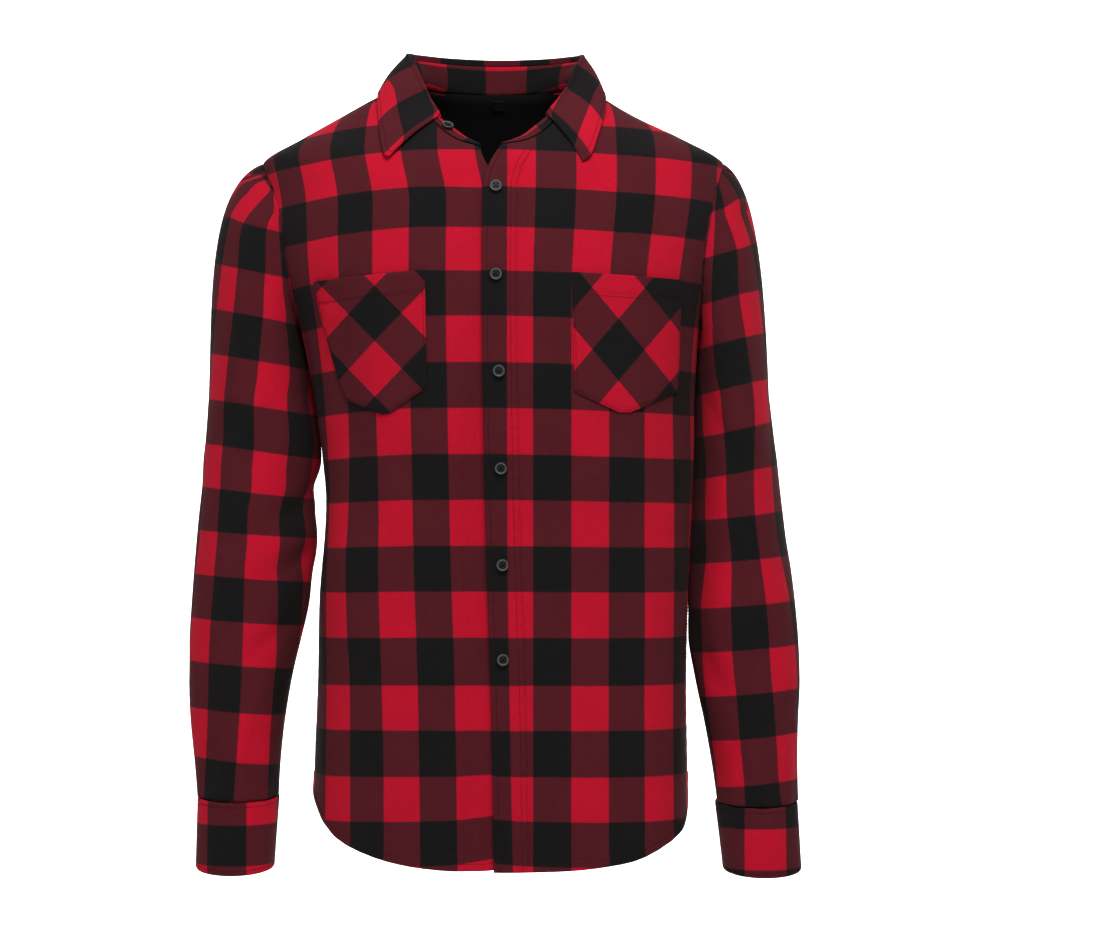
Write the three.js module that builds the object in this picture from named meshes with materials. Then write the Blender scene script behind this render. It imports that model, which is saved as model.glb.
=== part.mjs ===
// Flannel shirt in its worn shape, hollow, with long sleeves hanging at the sides.
// Millimetres. +Z is up and the front faces -Y, so the wearer's left is +X.
// The origin is the middle of the neck, level with the high ends of the shoulder seams.
import * as THREE from 'three';

// Cloth walls and gaps
const CLOTH = 1.2;
const BAND = 1.6;
const SEAM = 0.3;
const LAID_ON = 1;

// Levels
const UNDERARM_Z = -240;
const YOKE_SEAM_Z = -110;
const SHOULDER_Z = -79;
const BACK_NECK_DROP = 7;

// Mesh counts: across a front, up the body, up the armhole
const ACROSS = 12;
const NECK_STEPS = 5;
const BODY_ROWS = 12;
const ARMHOLE_STEPS = 9;
const BACK_STEPS = 5;
const YOKE_STEPS = 3;
const YOKE_SHARE = 0.82;

// Body form, one row for each level. right and left are the wearer's half widths,
// front and back the depths, round the squareness of the section.
const BODY = [
  { z: -790, right: 177, left: 183, front: 120, back: 119, round: 2.9 },
  { z: -647, right: 173, left: 180, front: 119, back: 116, round: 2.9 },
  { z: -571, right: 170, left: 179, front: 117, back: 112, round: 2.9 },
  { z: -486, right: 168, left: 181, front: 116, back: 108, round: 2.9 },
  { z: -400, right: 160, left: 185, front: 118, back: 107, round: 2.8 },
  { z: -360, right: 164, left: 187, front: 121, back: 109, round: 2.7 },
  { z: -300, right: 174, left: 188, front: 125, back: 113, round: 2.6 },
  { z: -235, right: 188, left: 193, front: 127, back: 117, round: 2.5 },
  { z: -188, right: 205, left: 203, front: 125, back: 119, round: 2.5 },
  { z: -147, right: 213, left: 209, front: 119, back: 118, round: 2.5 },
  { z: -110, right: 217, left: 213, front: 110, back: 114, round: 2.4 },
  { z: -79, right: 222, left: 214, front: 99, back: 109, round: 2.3 },
  { z: -57, right: 186, left: 176, front: 83, back: 104, round: 2.3 },
  { z: -36, right: 149, left: 132, front: 64, back: 98, round: 2.3 },
  { z: -20, right: 121, left: 105, front: 46, back: 93, round: 2.3 },
  { z: -8, right: 98, left: 88, front: 29, back: 88, round: 2.3 },
  { z: 0, right: 82, left: 77, front: 14, back: 84, round: 2.3 },
];

// Free edges of the two fronts: the wearer's left laps over the right
const TOP_EDGE = [
  { z: -790, x: -1 },
  { z: -580, x: -4 },
  { z: -460, x: -8 },
  { z: -314, x: -11 },
  { z: -200, x: -12.5 },
  { z: -107, x: -11.7 },
  { z: -86, x: -4.6 },
  { z: -70, x: 5.6 },
];
const UNDER_EDGE = [
  { z: -790, x: 24 },
  { z: -200, x: 15 },
  { z: -130, x: 13 },
  { z: -107, x: 8 },
  { z: -86, x: -4 },
  { z: -72, x: -14 },
];
const PLACKET_WIDTH = 31.5;
const UNDERLAP_DROP = 2.6;

// Front neckline from the free edge to the shoulder seam
const NECK_RIGHT = [
  { share: 0, x: -14, z: -72 },
  { share: 0.25, x: -38, z: -64 },
  { share: 0.5, x: -58, z: -47 },
  { share: 0.75, x: -73, z: -25 },
  { share: 1, x: -82, z: 0 },
];
const NECK_LEFT = [
  { share: 0, x: 5.6, z: -70 },
  { share: 0.25, x: 32, z: -64 },
  { share: 0.5, x: 53, z: -48 },
  { share: 0.75, x: 68, z: -26 },
  { share: 1, x: 77, z: 0 },
];

// Hem heights from the front edge (0) to the side seam (1), and for the back
const HEM = [
  { share: 0, right: -735, left: -740, back: -754 },
  { share: 0.14, right: -739, left: -740, back: -754 },
  { share: 0.28, right: -738, left: -739, back: -752 },
  { share: 0.4, right: -734, left: -736, back: -746 },
  { share: 0.52, right: -726, left: -731, back: -734 },
  { share: 0.66, right: -711, left: -718, back: -713 },
  { share: 0.8, right: -686, left: -703, back: -689 },
  { share: 0.9, right: -673, left: -686, back: -673 },
  { share: 1, right: -662, left: -662, back: -662 },
];

// Armhole from the underarm (0) to the shoulder (1)
const ARMHOLE = [
  { share: 0, z: -240, front: 0, back: 0 },
  { share: 0.1, z: -236, front: 18, back: 19 },
  { share: 0.22, z: -224, front: 37, back: 39 },
  { share: 0.36, z: -202, front: 50, back: 53 },
  { share: 0.5, z: -176, front: 56, back: 60 },
  { share: 0.64, z: -147, front: 54, back: 58 },
  { share: 0.78, z: -118, front: 44, back: 48 },
  { share: 0.9, z: -94, front: 26, back: 28 },
  { share: 1, z: SHOULDER_Z, front: 0, back: 0 },
];

// Soft folds of the body: a straight valley (depth < 0) or ridge between two
// places on the front or the back
const BODY_FOLDS = [
  { face: 'front', x1: -22, z1: -250, x2: -20, z2: -735, width: 11, depth: -4 },
  { face: 'front', x1: -36, z1: -560, x2: -38, z2: -745, width: 13, depth: 3 },
  { face: 'front', x1: -150, z1: -215, x2: -118, z2: -420, width: 20, depth: -4 },
  { face: 'front', x1: -165, z1: -330, x2: -130, z2: -520, width: 18, depth: 3 },
  { face: 'front', x1: 52, z1: -520, x2: 60, z2: -735, width: 24, depth: -3 },
  { face: 'front', x1: 120, z1: -420, x2: 108, z2: -700, width: 26, depth: -3 },
  { face: 'front', x1: 168, z1: -260, x2: 150, z2: -430, width: 20, depth: -3 },
  { face: 'back', x1: -60, z1: -330, x2: -48, z2: -700, width: 26, depth: -5 },
  { face: 'back', x1: 20, z1: -260, x2: 14, z2: -600, width: 22, depth: -3 },
  { face: 'back', x1: 92, z1: -380, x2: 76, z2: -720, width: 28, depth: -5 },
  { face: 'back', x1: -150, z1: -215, x2: -115, z2: -380, width: 20, depth: -4 },
  { face: 'back', x1: 155, z1: -215, x2: 122, z2: -360, width: 20, depth: -4 },
];

// Sleeves, one row for each level: outer and inner side, middle depth and half depth.
// tilt lowers the front of the ring.
const SLEEVE_RIGHT = [
  { z: -300, outer: -275, inner: -175.5, y: 4, deep: 62, tilt: 0 },
  { z: -342, outer: -278, inner: -168.8, y: 3, deep: 58, tilt: 0 },
  { z: -361, outer: -280, inner: -169, y: 2, deep: 56, tilt: 0 },
  { z: -385, outer: -281, inner: -173, y: 0, deep: 55, tilt: 0 },
  { z: -412, outer: -284, inner: -175, y: -2, deep: 54, tilt: 0 },
  { z: -437, outer: -286, inner: -171, y: -4, deep: 53, tilt: 0 },
  { z: -465, outer: -288, inner: -177, y: -7, deep: 51, tilt: 0.02 },
  { z: -495, outer: -290, inner: -180, y: -9, deep: 50, tilt: 0.03 },
  { z: -533, outer: -292, inner: -187, y: -12, deep: 48, tilt: 0.05 },
  { z: -571, outer: -292, inner: -195, y: -15, deep: 46, tilt: 0.07 },
  { z: -609, outer: -290, inner: -201, y: -18, deep: 43, tilt: 0.08 },
  { z: -647, outer: -286, inner: -205, y: -20, deep: 40, tilt: 0.09 },
  { z: -677, outer: -283, inner: -207, y: -22, deep: 38, tilt: 0.1 },
];
const SLEEVE_LEFT = [
  { z: -300, outer: 259, inner: 190, y: 10, deep: 74, tilt: 0 },
  { z: -342, outer: 264, inner: 189.3, y: 10, deep: 72, tilt: 0 },
  { z: -361, outer: 266.5, inner: 188.8, y: 9, deep: 70, tilt: 0 },
  { z: -385, outer: 269, inner: 187.8, y: 8, deep: 68, tilt: 0 },
  { z: -412, outer: 272, inner: 186.4, y: 6, deep: 66, tilt: 0 },
  { z: -437, outer: 275, inner: 185, y: 4, deep: 64, tilt: 0 },
  { z: -465, outer: 279.5, inner: 183.6, y: 2, deep: 61, tilt: 0.02 },
  { z: -495, outer: 283, inner: 182.4, y: -2, deep: 58, tilt: 0.03 },
  { z: -533, outer: 286, inner: 182, y: -7, deep: 53, tilt: 0.05 },
  { z: -571, outer: 287, inner: 188, y: -11, deep: 48, tilt: 0.07 },
  { z: -609, outer: 285, inner: 196, y: -15, deep: 44, tilt: 0.08 },
  { z: -650, outer: 284, inner: 203, y: -19, deep: 41, tilt: 0.09 },
  { z: -682, outer: 284, inner: 207, y: -22, deep: 38, tilt: 0.1 },
];
const CAP_STEPS = 6;
const CAP_RIGHT = 165;
const CAP_LEFT = 108;

// Folds of the sleeves: turn is the place round the arm in degrees (0 outer, 90 front,
// 180 body side, 270 back), rising by slope degrees for each millimetre of height
const SLEEVE_FOLDS = [
  { arm: 'right', turn: 118, z: -250, slope: 0.7, long: 70, wide: 15, depth: -5 },
  { arm: 'right', turn: 165, z: -395, slope: 1.6, long: 26, wide: 26, depth: -4 },
  { arm: 'right', turn: 150, z: -452, slope: 1.4, long: 24, wide: 26, depth: -4 },
  { arm: 'right', turn: 60, z: -640, slope: 0.1, long: 60, wide: 15, depth: -2.5 },
  { arm: 'right', turn: 250, z: -420, slope: -0.8, long: 80, wide: 18, depth: -5 },
  { arm: 'left', turn: 92, z: -430, slope: -0.06, long: 90, wide: 14, depth: -4 },
  { arm: 'left', turn: 70, z: -235, slope: 0.3, long: 60, wide: 14, depth: -3 },
  { arm: 'left', turn: 130, z: -560, slope: 0.5, long: 50, wide: 18, depth: -3 },
  { arm: 'left', turn: 250, z: -420, slope: 0.8, long: 80, wide: 18, depth: -5 },
];

// Cuffs: a lapped band, its top and bottom ring
const CUFFS = {
  right: {
    side: -1,
    top: { z: -678.5, x: -245, y: -22, wide: 38, deep: 38, tilt: 0.1 },
    bottom: { z: -745, x: -248, y: -26, wide: 36.5, deep: 38, tilt: 0.14 },
  },
  left: {
    side: 1,
    top: { z: -683.5, x: 245.5, y: -22, wide: 38.5, deep: 38, tilt: 0.1 },
    bottom: { z: -747, x: 251, y: -26, wide: 36.5, deep: 38, tilt: 0.14 },
  },
};
const CUFF_LAP_TURN = 205;
const CUFF_LAP = 26;

// Collar stations round the neck, from the right front corner of the leaf over the
// back to the left one. fold is the rolled top, edge the free edge of the leaf.
const COLLAR = [
  { fold: [-53, -68, -38.5], edge: [-98.5, -99, -81], lip: 3.2 },
  { fold: [-55, -64, -34], edge: [-103, -97, -79.5], lip: 3.4 },
  { fold: [-64, -45, -19], edge: [-108, -80, -60], lip: 4 },
  { fold: [-75, -22, 6], edge: [-111, -58, -40], lip: 5 },
  { fold: [-82, -4, 20], edge: [-113.5, -32, -20], lip: 6 },
  { fold: [-86, 12, 27], edge: [-113.5, 8, -12.5], lip: 6.5 },
  { fold: [-77, 46, 30], edge: [-98, 60, -10], lip: 6.5 },
  { fold: [-46, 78, 30.5], edge: [-60, 93, -11], lip: 6.5 },
  { fold: [0, 90, 30], edge: [0, 104, -12], lip: 6.5 },
  { fold: [46, 78, 30], edge: [58, 93, -11], lip: 6.5 },
  { fold: [75, 46, 29], edge: [93, 60, -11], lip: 6.5 },
  { fold: [81, 10, 25.5], edge: [101, 6, -13], lip: 6.5 },
  { fold: [76, -8, 14.5], edge: [103.5, -35, -21], lip: 6 },
  { fold: [69, -26, -3], edge: [100, -62, -43], lip: 5 },
  { fold: [59, -47, -20.5], edge: [94, -85, -63], lip: 4 },
  { fold: [49, -64, -34], edge: [87.5, -99, -80], lip: 3.4 },
  { fold: [47, -68, -37.5], edge: [80, -100, -86], lip: 3.2 },
];
const LEAF_STEPS = 26;
const ROLL = 2.5;
const LEAF_BULGE = 5;
// Open ends of the stand in front of the leaf: top edge, and how much height is left
const STAND_ENDS = {
  right: [
    { x: -41, y: -70.5, z: -51, height: 1 },
    { x: -31, y: -73.5, z: -58.5, height: 0.94 },
    { x: -24, y: -77, z: -63, height: 0.7 },
  ],
  left: [
    { x: 36, y: -70.5, z: -50, height: 1 },
    { x: 25, y: -73.5, z: -58.5, height: 0.94 },
    { x: 17, y: -77, z: -63, height: 0.7 },
  ],
};

// Chest pockets, one row for each level down the pocket: the edge by the placket and
// the edge by the armhole
const POCKETS = {
  left: [
    { x1: 70, z1: -189.5, x2: 171, z2: -194.5 },
    { x1: 70.5, z1: -216, x2: 171, z2: -221 },
    { x1: 71, z1: -244, x2: 171, z2: -248 },
    { x1: 71.5, z1: -272, x2: 170.5, z2: -274 },
    { x1: 72, z1: -299, x2: 169.5, z2: -299 },
  ],
  right: [
    { x1: -64.5, z1: -187.5, x2: -168.5, z2: -196 },
    { x1: -64, z1: -214, x2: -163, z2: -228 },
    { x1: -63.5, z1: -241, x2: -156, z2: -257 },
    { x1: -63, z1: -268, x2: -149, z2: -283 },
    { x1: -62.6, z1: -295, x2: -142, z2: -306 },
  ],
};
const POCKET_POINT = 19;
const POCKET_POINT_AT = 0.47;

// Buttons
const BUTTON_RADIUS = 5.7;
const BUTTON_THICK = 2.6;
const BUTTON_HOLE = 0.75;
const BUTTON_HOLE_AT = 1.55;
const BUTTON_SEAT = 0.35;
const FRONT_BUTTONS = [
  { x: 0.3, z: -111 },
  { x: 0.6, z: -192 },
  { x: 3.3, z: -280 },
  { x: 5.1, z: -369 },
  { x: 6.5, z: -458 },
  { x: 6.9, z: -545 },
];

const LABEL_WIDTH = 12;
const LABEL_HEIGHT = 7;
const LABEL_THICK = 1;

const RAD = Math.PI / 180;
const vec = (x, y, z) => new THREE.Vector3(x, y, z);
const mix = (a, b, t) => a + (b - a) * t;

// Value of one column of a table at a key, smooth between rows
function look(table, key, column, value) {
  const n = table.length;
  const first = table[0][key];
  const up = table[n - 1][key] > first;
  const at = up ? value : -value;
  const keys = table.map((row) => (up ? row[key] : -row[key]));
  if (at <= keys[0]) return table[0][column];
  if (at >= keys[n - 1]) return table[n - 1][column];
  let i = 0;
  while (at > keys[i + 1]) i += 1;
  const slope = (a, b) => (table[b][column] - table[a][column]) / (keys[b] - keys[a]);
  const here = slope(i, i + 1);
  const before = i > 0 ? slope(i - 1, i) : here;
  const after = i < n - 2 ? slope(i + 1, i + 2) : here;
  const limit = (m) => (m * here <= 0 ? 0 : Math.sign(here) * Math.min(Math.abs(m), 3 * Math.abs(here)));
  const m0 = i > 0 ? limit((before + here) / 2) : here;
  const m1 = i < n - 2 ? limit((after + here) / 2) : here;
  const h = keys[i + 1] - keys[i];
  const t = (at - keys[i]) / h;
  const a = table[i][column] * (1 + 2 * t) * (1 - t) ** 2 + m0 * h * t * (1 - t) ** 2;
  const b = table[i + 1][column] * t * t * (3 - 2 * t) + m1 * h * t * t * (t - 1);
  return a + b;
}

// Point of the body form at a turn (0 the wearer's left, 90 front, 180 right, 270 back)
function bodyPoint(turn, z) {
  const c = Math.cos(turn * RAD);
  const s = Math.sin(turn * RAD);
  const wide = look(BODY, 'z', c < 0 ? 'right' : 'left', z);
  const deep = look(BODY, 'z', s > 0 ? 'front' : 'back', z);
  const n = look(BODY, 'z', 'round', z);
  const r = (Math.abs(c / wide) ** n + Math.abs(s / deep) ** n) ** (-1 / n);
  return vec(r * c, -r * s, z);
}

function foldDepth(p) {
  let depth = 0;
  for (const f of BODY_FOLDS) {
    if ((f.face === 'front') === (p.y < 0)) {
      const dx = f.x2 - f.x1;
      const dz = f.z2 - f.z1;
      const along = ((p.x - f.x1) * dx + (p.z - f.z1) * dz) / (dx * dx + dz * dz);
      const t = Math.min(1, Math.max(0, along));
      const off = Math.hypot(p.x - f.x1 - dx * t, p.z - f.z1 - dz * t);
      const fade = Math.sin(Math.PI * Math.min(0.85, Math.max(0.08, along))) ** 0.6;
      depth += f.depth * fade * Math.exp(-((off / f.width) ** 2));
    }
  }
  return depth;
}

function formNormal(turn, z) {
  const a = bodyPoint(turn + 0.4, z).sub(bodyPoint(turn - 0.4, z));
  const b = bodyPoint(turn, Math.min(0, z + 1)).sub(bodyPoint(turn, z - 1));
  return b.cross(a).normalize();
}

function foldedPoint(turn, z) {
  const p = bodyPoint(turn, z);
  return p.clone().addScaledVector(formNormal(turn, z), foldDepth(p));
}

// Surface point and outward normal, moved out by a distance
function skin(turn, z, out = 0) {
  const a = foldedPoint(turn + 0.5, z).sub(foldedPoint(turn - 0.5, z));
  const b = foldedPoint(turn, Math.min(0, z + 1.5)).sub(foldedPoint(turn, z - 1.5));
  const n = b.cross(a).normalize();
  return { p: foldedPoint(turn, z).addScaledVector(n, out), n };
}

// Turn on the front at a sideways place x
function turnAt(x, z) {
  const wide = look(BODY, 'z', x < 0 ? 'right' : 'left', z);
  const n = look(BODY, 'z', 'round', z);
  const share = Math.min(1, Math.abs(x) / wide);
  const y = look(BODY, 'z', 'front', z) * (1 - share ** n) ** (1 / n);
  return Math.atan2(y, x) / RAD;
}

// Turn of the armhole edge: side 1 is the wearer's left
function armholeTurn(side, share, face) {
  const z = look(ARMHOLE, 'share', 'z', share);
  const y = look(ARMHOLE, 'share', face, share);
  const sign = face === 'front' ? 1 : -1;
  let low = 0;
  let high = 60;
  for (let i = 0; i < 40; i += 1) {
    const middle = (low + high) / 2;
    if (Math.abs(bodyPoint(sign * middle, z).y) < y) low = middle;
    else high = middle;
  }
  const turn = sign * low;
  return side > 0 ? turn : 180 - turn;
}

// Turn at a share of the way round one level, by length of cloth
function turnByLength(z, from, to, share) {
  const steps = 48;
  const lengths = [0];
  for (let i = 1; i <= steps; i += 1) {
    const a = bodyPoint(mix(from, to, (i - 1) / steps), z);
    const b = bodyPoint(mix(from, to, i / steps), z);
    lengths.push(lengths[i - 1] + a.distanceTo(b));
  }
  const goal = share * lengths[steps];
  let i = 1;
  while (i < steps && lengths[i] < goal) i += 1;
  const part = (goal - lengths[i - 1]) / (lengths[i] - lengths[i - 1]);
  return mix(from, to, (i - 1 + part) / steps);
}

// A small turn that opens half a seam gap at a level
function gapTurn(turn, z) {
  const p = bodyPoint(turn, z);
  return (0.6 * SEAM) / Math.hypot(p.x, p.y) / RAD;
}

// Four-sided patch between its four edges, each a function giving [turn, z]
function patch(bottom, top, first, last, u, v) {
  const out = [0, 1].map((k) => {
    const rows = mix(bottom(u)[k], top(u)[k], v);
    const columns = mix(first(v)[k], last(v)[k], u);
    const low = mix(bottom(0)[k], bottom(1)[k], u);
    const high = mix(top(0)[k], top(1)[k], u);
    return rows + columns - mix(low, high, v);
  });
  return out;
}

// Closed wall from a grid of { p, n }: thick inwards. wrap joins last column to first.
function wallGeometry(given, thick, wrap = false) {
  const rows = given.length;
  const columns = given[0].length;
  const r0 = Math.floor((rows - 1) / 2);
  const c0 = Math.floor((columns - 1) / 2);
  const across = given[r0][c0 + 1].p.clone().sub(given[r0][c0].p);
  const along = given[r0 + 1][c0].p.clone().sub(given[r0][c0].p);
  const facesOut = across.cross(along).dot(given[r0][c0].n) > 0;
  const grid = facesOut ? given : given.map((row) => [...row].reverse());
  const positions = [];
  for (const inner of [0, 1]) {
    for (const row of grid) {
      for (const { p, n } of row) {
        const q = p.clone().addScaledVector(n, -thick * inner);
        positions.push(q.x, q.y, q.z);
      }
    }
  }
  const index = (inner, r, c) => (inner * rows + r) * columns + (c % columns);
  const faces = [];
  const quad = (a, b, c, d) => faces.push(a, b, c, a, c, d);
  const span = wrap ? columns : columns - 1;
  for (let r = 0; r < rows - 1; r += 1) {
    for (let c = 0; c < span; c += 1) {
      quad(index(0, r, c), index(0, r, c + 1), index(0, r + 1, c + 1), index(0, r + 1, c));
      quad(index(1, r, c), index(1, r + 1, c), index(1, r + 1, c + 1), index(1, r, c + 1));
    }
  }
  for (let c = 0; c < span; c += 1) {
    const t = rows - 1;
    quad(index(0, 0, c + 1), index(0, 0, c), index(1, 0, c), index(1, 0, c + 1));
    quad(index(0, t, c), index(0, t, c + 1), index(1, t, c + 1), index(1, t, c));
  }
  if (!wrap) {
    for (let r = 0; r < rows - 1; r += 1) {
      const e = columns - 1;
      quad(index(0, r, 0), index(0, r + 1, 0), index(1, r + 1, 0), index(1, r, 0));
      quad(index(0, r + 1, e), index(0, r, e), index(1, r, e), index(1, r + 1, e));
    }
  }
  const geometry = new THREE.BufferGeometry();
  geometry.setAttribute('position', new THREE.Float32BufferAttribute(positions, 3));
  geometry.setIndex(faces);
  geometry.computeVertexNormals();
  return geometry;
}

// Grid normals from neighbouring points; outward side given by sign
function withNormals(points, wrap, sign) {
  const rows = points.length;
  const columns = points[0].length;
  return points.map((row, r) => row.map((p, c) => {
    const left = wrap ? (c + columns - 1) % columns : Math.max(0, c - 1);
    const right = wrap ? (c + 1) % columns : Math.min(columns - 1, c + 1);
    const a = row[right].clone().sub(row[left]);
    const b = points[Math.min(rows - 1, r + 1)][c].clone().sub(points[Math.max(0, r - 1)][c]);
    return { p, n: a.cross(b).normalize().multiplyScalar(sign) };
  }));
}

const shirt = new THREE.Group();
shirt.name = 'flannel_shirt';

function add(name, geometry, color, roughness = 0.95) {
  const material = new THREE.MeshStandardMaterial({ color, roughness });
  const mesh = new THREE.Mesh(geometry, material);
  mesh.name = name;
  shirt.add(mesh);
}

const RED = 0xb01030;
const DARK = 0x5a1e26;
const BLACK = 0x1c1c1c;

// Fronts: hem to underarm row by row, then a patch up to the neckline and shoulder
function frontGrid(side) {
  const neck = side > 0 ? NECK_LEFT : NECK_RIGHT;
  const free = side > 0 ? TOP_EDGE : UNDER_EDGE;
  const hem = side > 0 ? 'left' : 'right';
  const seam = side > 0 ? 0 : 180;
  const inset = (z) => seam + side * gapTurn(seam, z);
  const edgeX = (z) => look(free, 'z', 'x', z) + (side > 0 ? 1.2 : 0);
  const places = [];
  for (let r = 0; r < BODY_ROWS; r += 1) {
    const row = [];
    for (let c = 0; c <= ACROSS; c += 1) {
      const z = mix(look(HEM, 'share', hem, c / ACROSS), UNDERARM_Z, r / BODY_ROWS);
      row.push([turnByLength(z, turnAt(edgeX(z), z), inset(z), c / ACROSS), z]);
    }
    places.push(row);
  }
  const neckZ = neck[0].z;
  const bottom = (u) => {
    const z = UNDERARM_Z;
    return [turnByLength(z, turnAt(edgeX(z), z), inset(z), u), z];
  };
  const top = (u) => {
    const split = NECK_STEPS / ACROSS;
    if (u < split) {
      const x = look(neck, 'share', 'x', u / split);
      const z = look(neck, 'share', 'z', u / split);
      return [turnAt(x, z), z];
    }
    const z = mix(0, SHOULDER_Z, (u - split) / (1 - split));
    return [inset(z), z];
  };
  const first = (v) => {
    const z = mix(UNDERARM_Z, neckZ, v);
    return [turnAt(edgeX(z) * (1 - v ** 8) + neck[0].x * v ** 8, z), z];
  };
  const last = (v) => {
    const z = look(ARMHOLE, 'share', 'z', v);
    return [armholeTurn(side, v, 'front') + side * gapTurn(seam, z), z];
  };
  for (let r = 0; r <= ARMHOLE_STEPS; r += 1) {
    const row = [];
    for (let c = 0; c <= ACROSS; c += 1) {
      row.push(patch(bottom, top, first, last, c / ACROSS, r / ARMHOLE_STEPS));
    }
    places.push(row);
  }
  return places;
}

const underlap = (x, z) => {
  const away = Math.max(0, look(TOP_EDGE, 'z', 'x', z) - x) / 18;
  return UNDERLAP_DROP * Math.exp(-(away ** 2));
};

function frontWall(side) {
  const grid = frontGrid(side).map((row) => row.map(([turn, z]) => {
    const plain = skin(turn, z);
    if (side > 0) return plain;
    return skin(turn, z, -underlap(plain.p.x, z));
  }));
  return wallGeometry(grid, CLOTH);
}

add('front_right', frontWall(-1), RED);
add('front_left', frontWall(1), RED);

// Placket: a band along the free edge of the wearer's left front
{
  const grid = [];
  const rows = BODY_ROWS + ARMHOLE_STEPS + 3;
  for (let r = 0; r <= rows; r += 1) {
    const row = [];
    for (let c = 0; c <= 3; c += 1) {
      const bottom = look(HEM, 'share', 'left', (c / 3) * 0.12);
      const top = mix(-72, -70, c / 3);
      const z = mix(bottom, top, r / rows);
      const x = look(TOP_EDGE, 'z', 'x', z) + (PLACKET_WIDTH * c) / 3;
      row.push(skin(turnAt(x, z), z, LAID_ON + 0.6 + CLOTH));
    }
    grid.push(row);
  }
  add('placket', wallGeometry(grid, CLOTH), DARK);
}

// Back: side seam to side seam, up to the yoke seam
const BACK_ACROSS = 2 * ACROSS;
{
  const places = [];
  const from = (z) => 180 + gapTurn(180, z);
  const to = (z) => 360 - gapTurn(0, z);
  for (let r = 0; r < BODY_ROWS; r += 1) {
    const row = [];
    for (let c = 0; c <= BACK_ACROSS; c += 1) {
      const share = Math.abs(c - ACROSS) / ACROSS;
      const z = mix(look(HEM, 'share', 'back', share), UNDERARM_Z, r / BODY_ROWS);
      row.push([turnByLength(z, from(z), to(z), c / BACK_ACROSS), z]);
    }
    places.push(row);
  }
  const seamZ = YOKE_SEAM_Z - 0.6 * SEAM;
  const side = (sign, v) => {
    const share = v * YOKE_SHARE;
    const z = v === 1 ? seamZ : look(ARMHOLE, 'share', 'z', share);
    const turn = armholeTurn(sign, share, 'back');
    return [sign > 0 ? turn + 360 - gapTurn(0, z) : turn + gapTurn(180, z), z];
  };
  const bottom = (u) => [turnByLength(UNDERARM_Z, from(UNDERARM_Z), to(UNDERARM_Z), u), UNDERARM_Z];
  const top = (u) => [turnByLength(seamZ, side(-1, 1)[0], side(1, 1)[0], u), seamZ];
  for (let r = 0; r <= BACK_STEPS; r += 1) {
    const row = [];
    for (let c = 0; c <= BACK_ACROSS; c += 1) {
      const u = c / BACK_ACROSS;
      row.push(patch(bottom, top, (v) => side(-1, v), (v) => side(1, v), u, r / BACK_STEPS));
    }
    places.push(row);
  }
  const grid = places.map((row) => row.map(([turn, z]) => skin(turn, z)));
  add('back', wallGeometry(grid, CLOTH), RED);
}

// Yoke: from its seam over the back to the neckline and both shoulder seams
function yokePlaces() {
  const seamZ = YOKE_SEAM_Z + 0.6 * SEAM;
  const ridge = (ACROSS - NECK_STEPS) / BACK_ACROSS;
  const side = (sign, v) => {
    const share = mix(YOKE_SHARE, 1, v);
    const z = v === 0 ? seamZ : look(ARMHOLE, 'share', 'z', share);
    const turn = armholeTurn(sign, share, 'back');
    return [sign > 0 ? turn + 360 - gapTurn(0, z) : turn + gapTurn(180, z), z];
  };
  const bottom = (u) => [turnByLength(seamZ, side(-1, 0)[0], side(1, 0)[0], u), seamZ];
  const top = (u) => {
    if (u < ridge) {
      const z = mix(SHOULDER_Z, 0, u / ridge);
      return [180 + gapTurn(180, z), z];
    }
    if (u > 1 - ridge) {
      const z = mix(0, SHOULDER_Z, (u - 1 + ridge) / ridge);
      return [360 - gapTurn(0, z), z];
    }
    const share = (u - ridge) / (1 - 2 * ridge);
    const from = 180 + gapTurn(180, 0);
    const turn = turnByLength(0, from, 360 - gapTurn(0, 0), share);
    return [turn, -BACK_NECK_DROP * Math.sin(turn * RAD) ** 2];
  };
  const places = [];
  for (let r = 0; r <= YOKE_STEPS; r += 1) {
    const row = [];
    for (let c = 0; c <= BACK_ACROSS; c += 1) {
      const u = c / BACK_ACROSS;
      row.push(patch(bottom, top, (v) => side(-1, v), (v) => side(1, v), u, r / YOKE_STEPS));
    }
    places.push(row);
  }
  return places;
}

{
  const places = yokePlaces();
  const outer = places.map((row) => row.map(([turn, z]) => skin(turn, z)));
  add('yoke', wallGeometry(outer, CLOTH), RED);
  const lining = places.map((row) => row.map(([turn, z]) => skin(turn, z, -CLOTH - LAID_ON)));
  add('yoke_lining', wallGeometry(lining, 1), BLACK);
}

// Collar curves: a smooth line through the stations
const line = (name) => new THREE.CatmullRomCurve3(COLLAR.map((row) => vec(...row[name])), false, 'centripetal');
const FOLD_LINE = line('fold');
const EDGE_LINE = line('edge');
const NECK_CENTRE = vec(0, 8, 0);

function leafStation(t) {
  const fold = FOLD_LINE.getPoint(t);
  const edge = EDGE_LINE.getPoint(t);
  const out = fold.clone().sub(NECK_CENTRE).setZ(0).normalize();
  const place = t * (COLLAR.length - 1);
  const i = Math.min(COLLAR.length - 2, Math.floor(place));
  const lip = mix(COLLAR[i].lip, COLLAR[i + 1].lip, place - i);
  return { fold, edge, out, lip };
}

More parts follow.
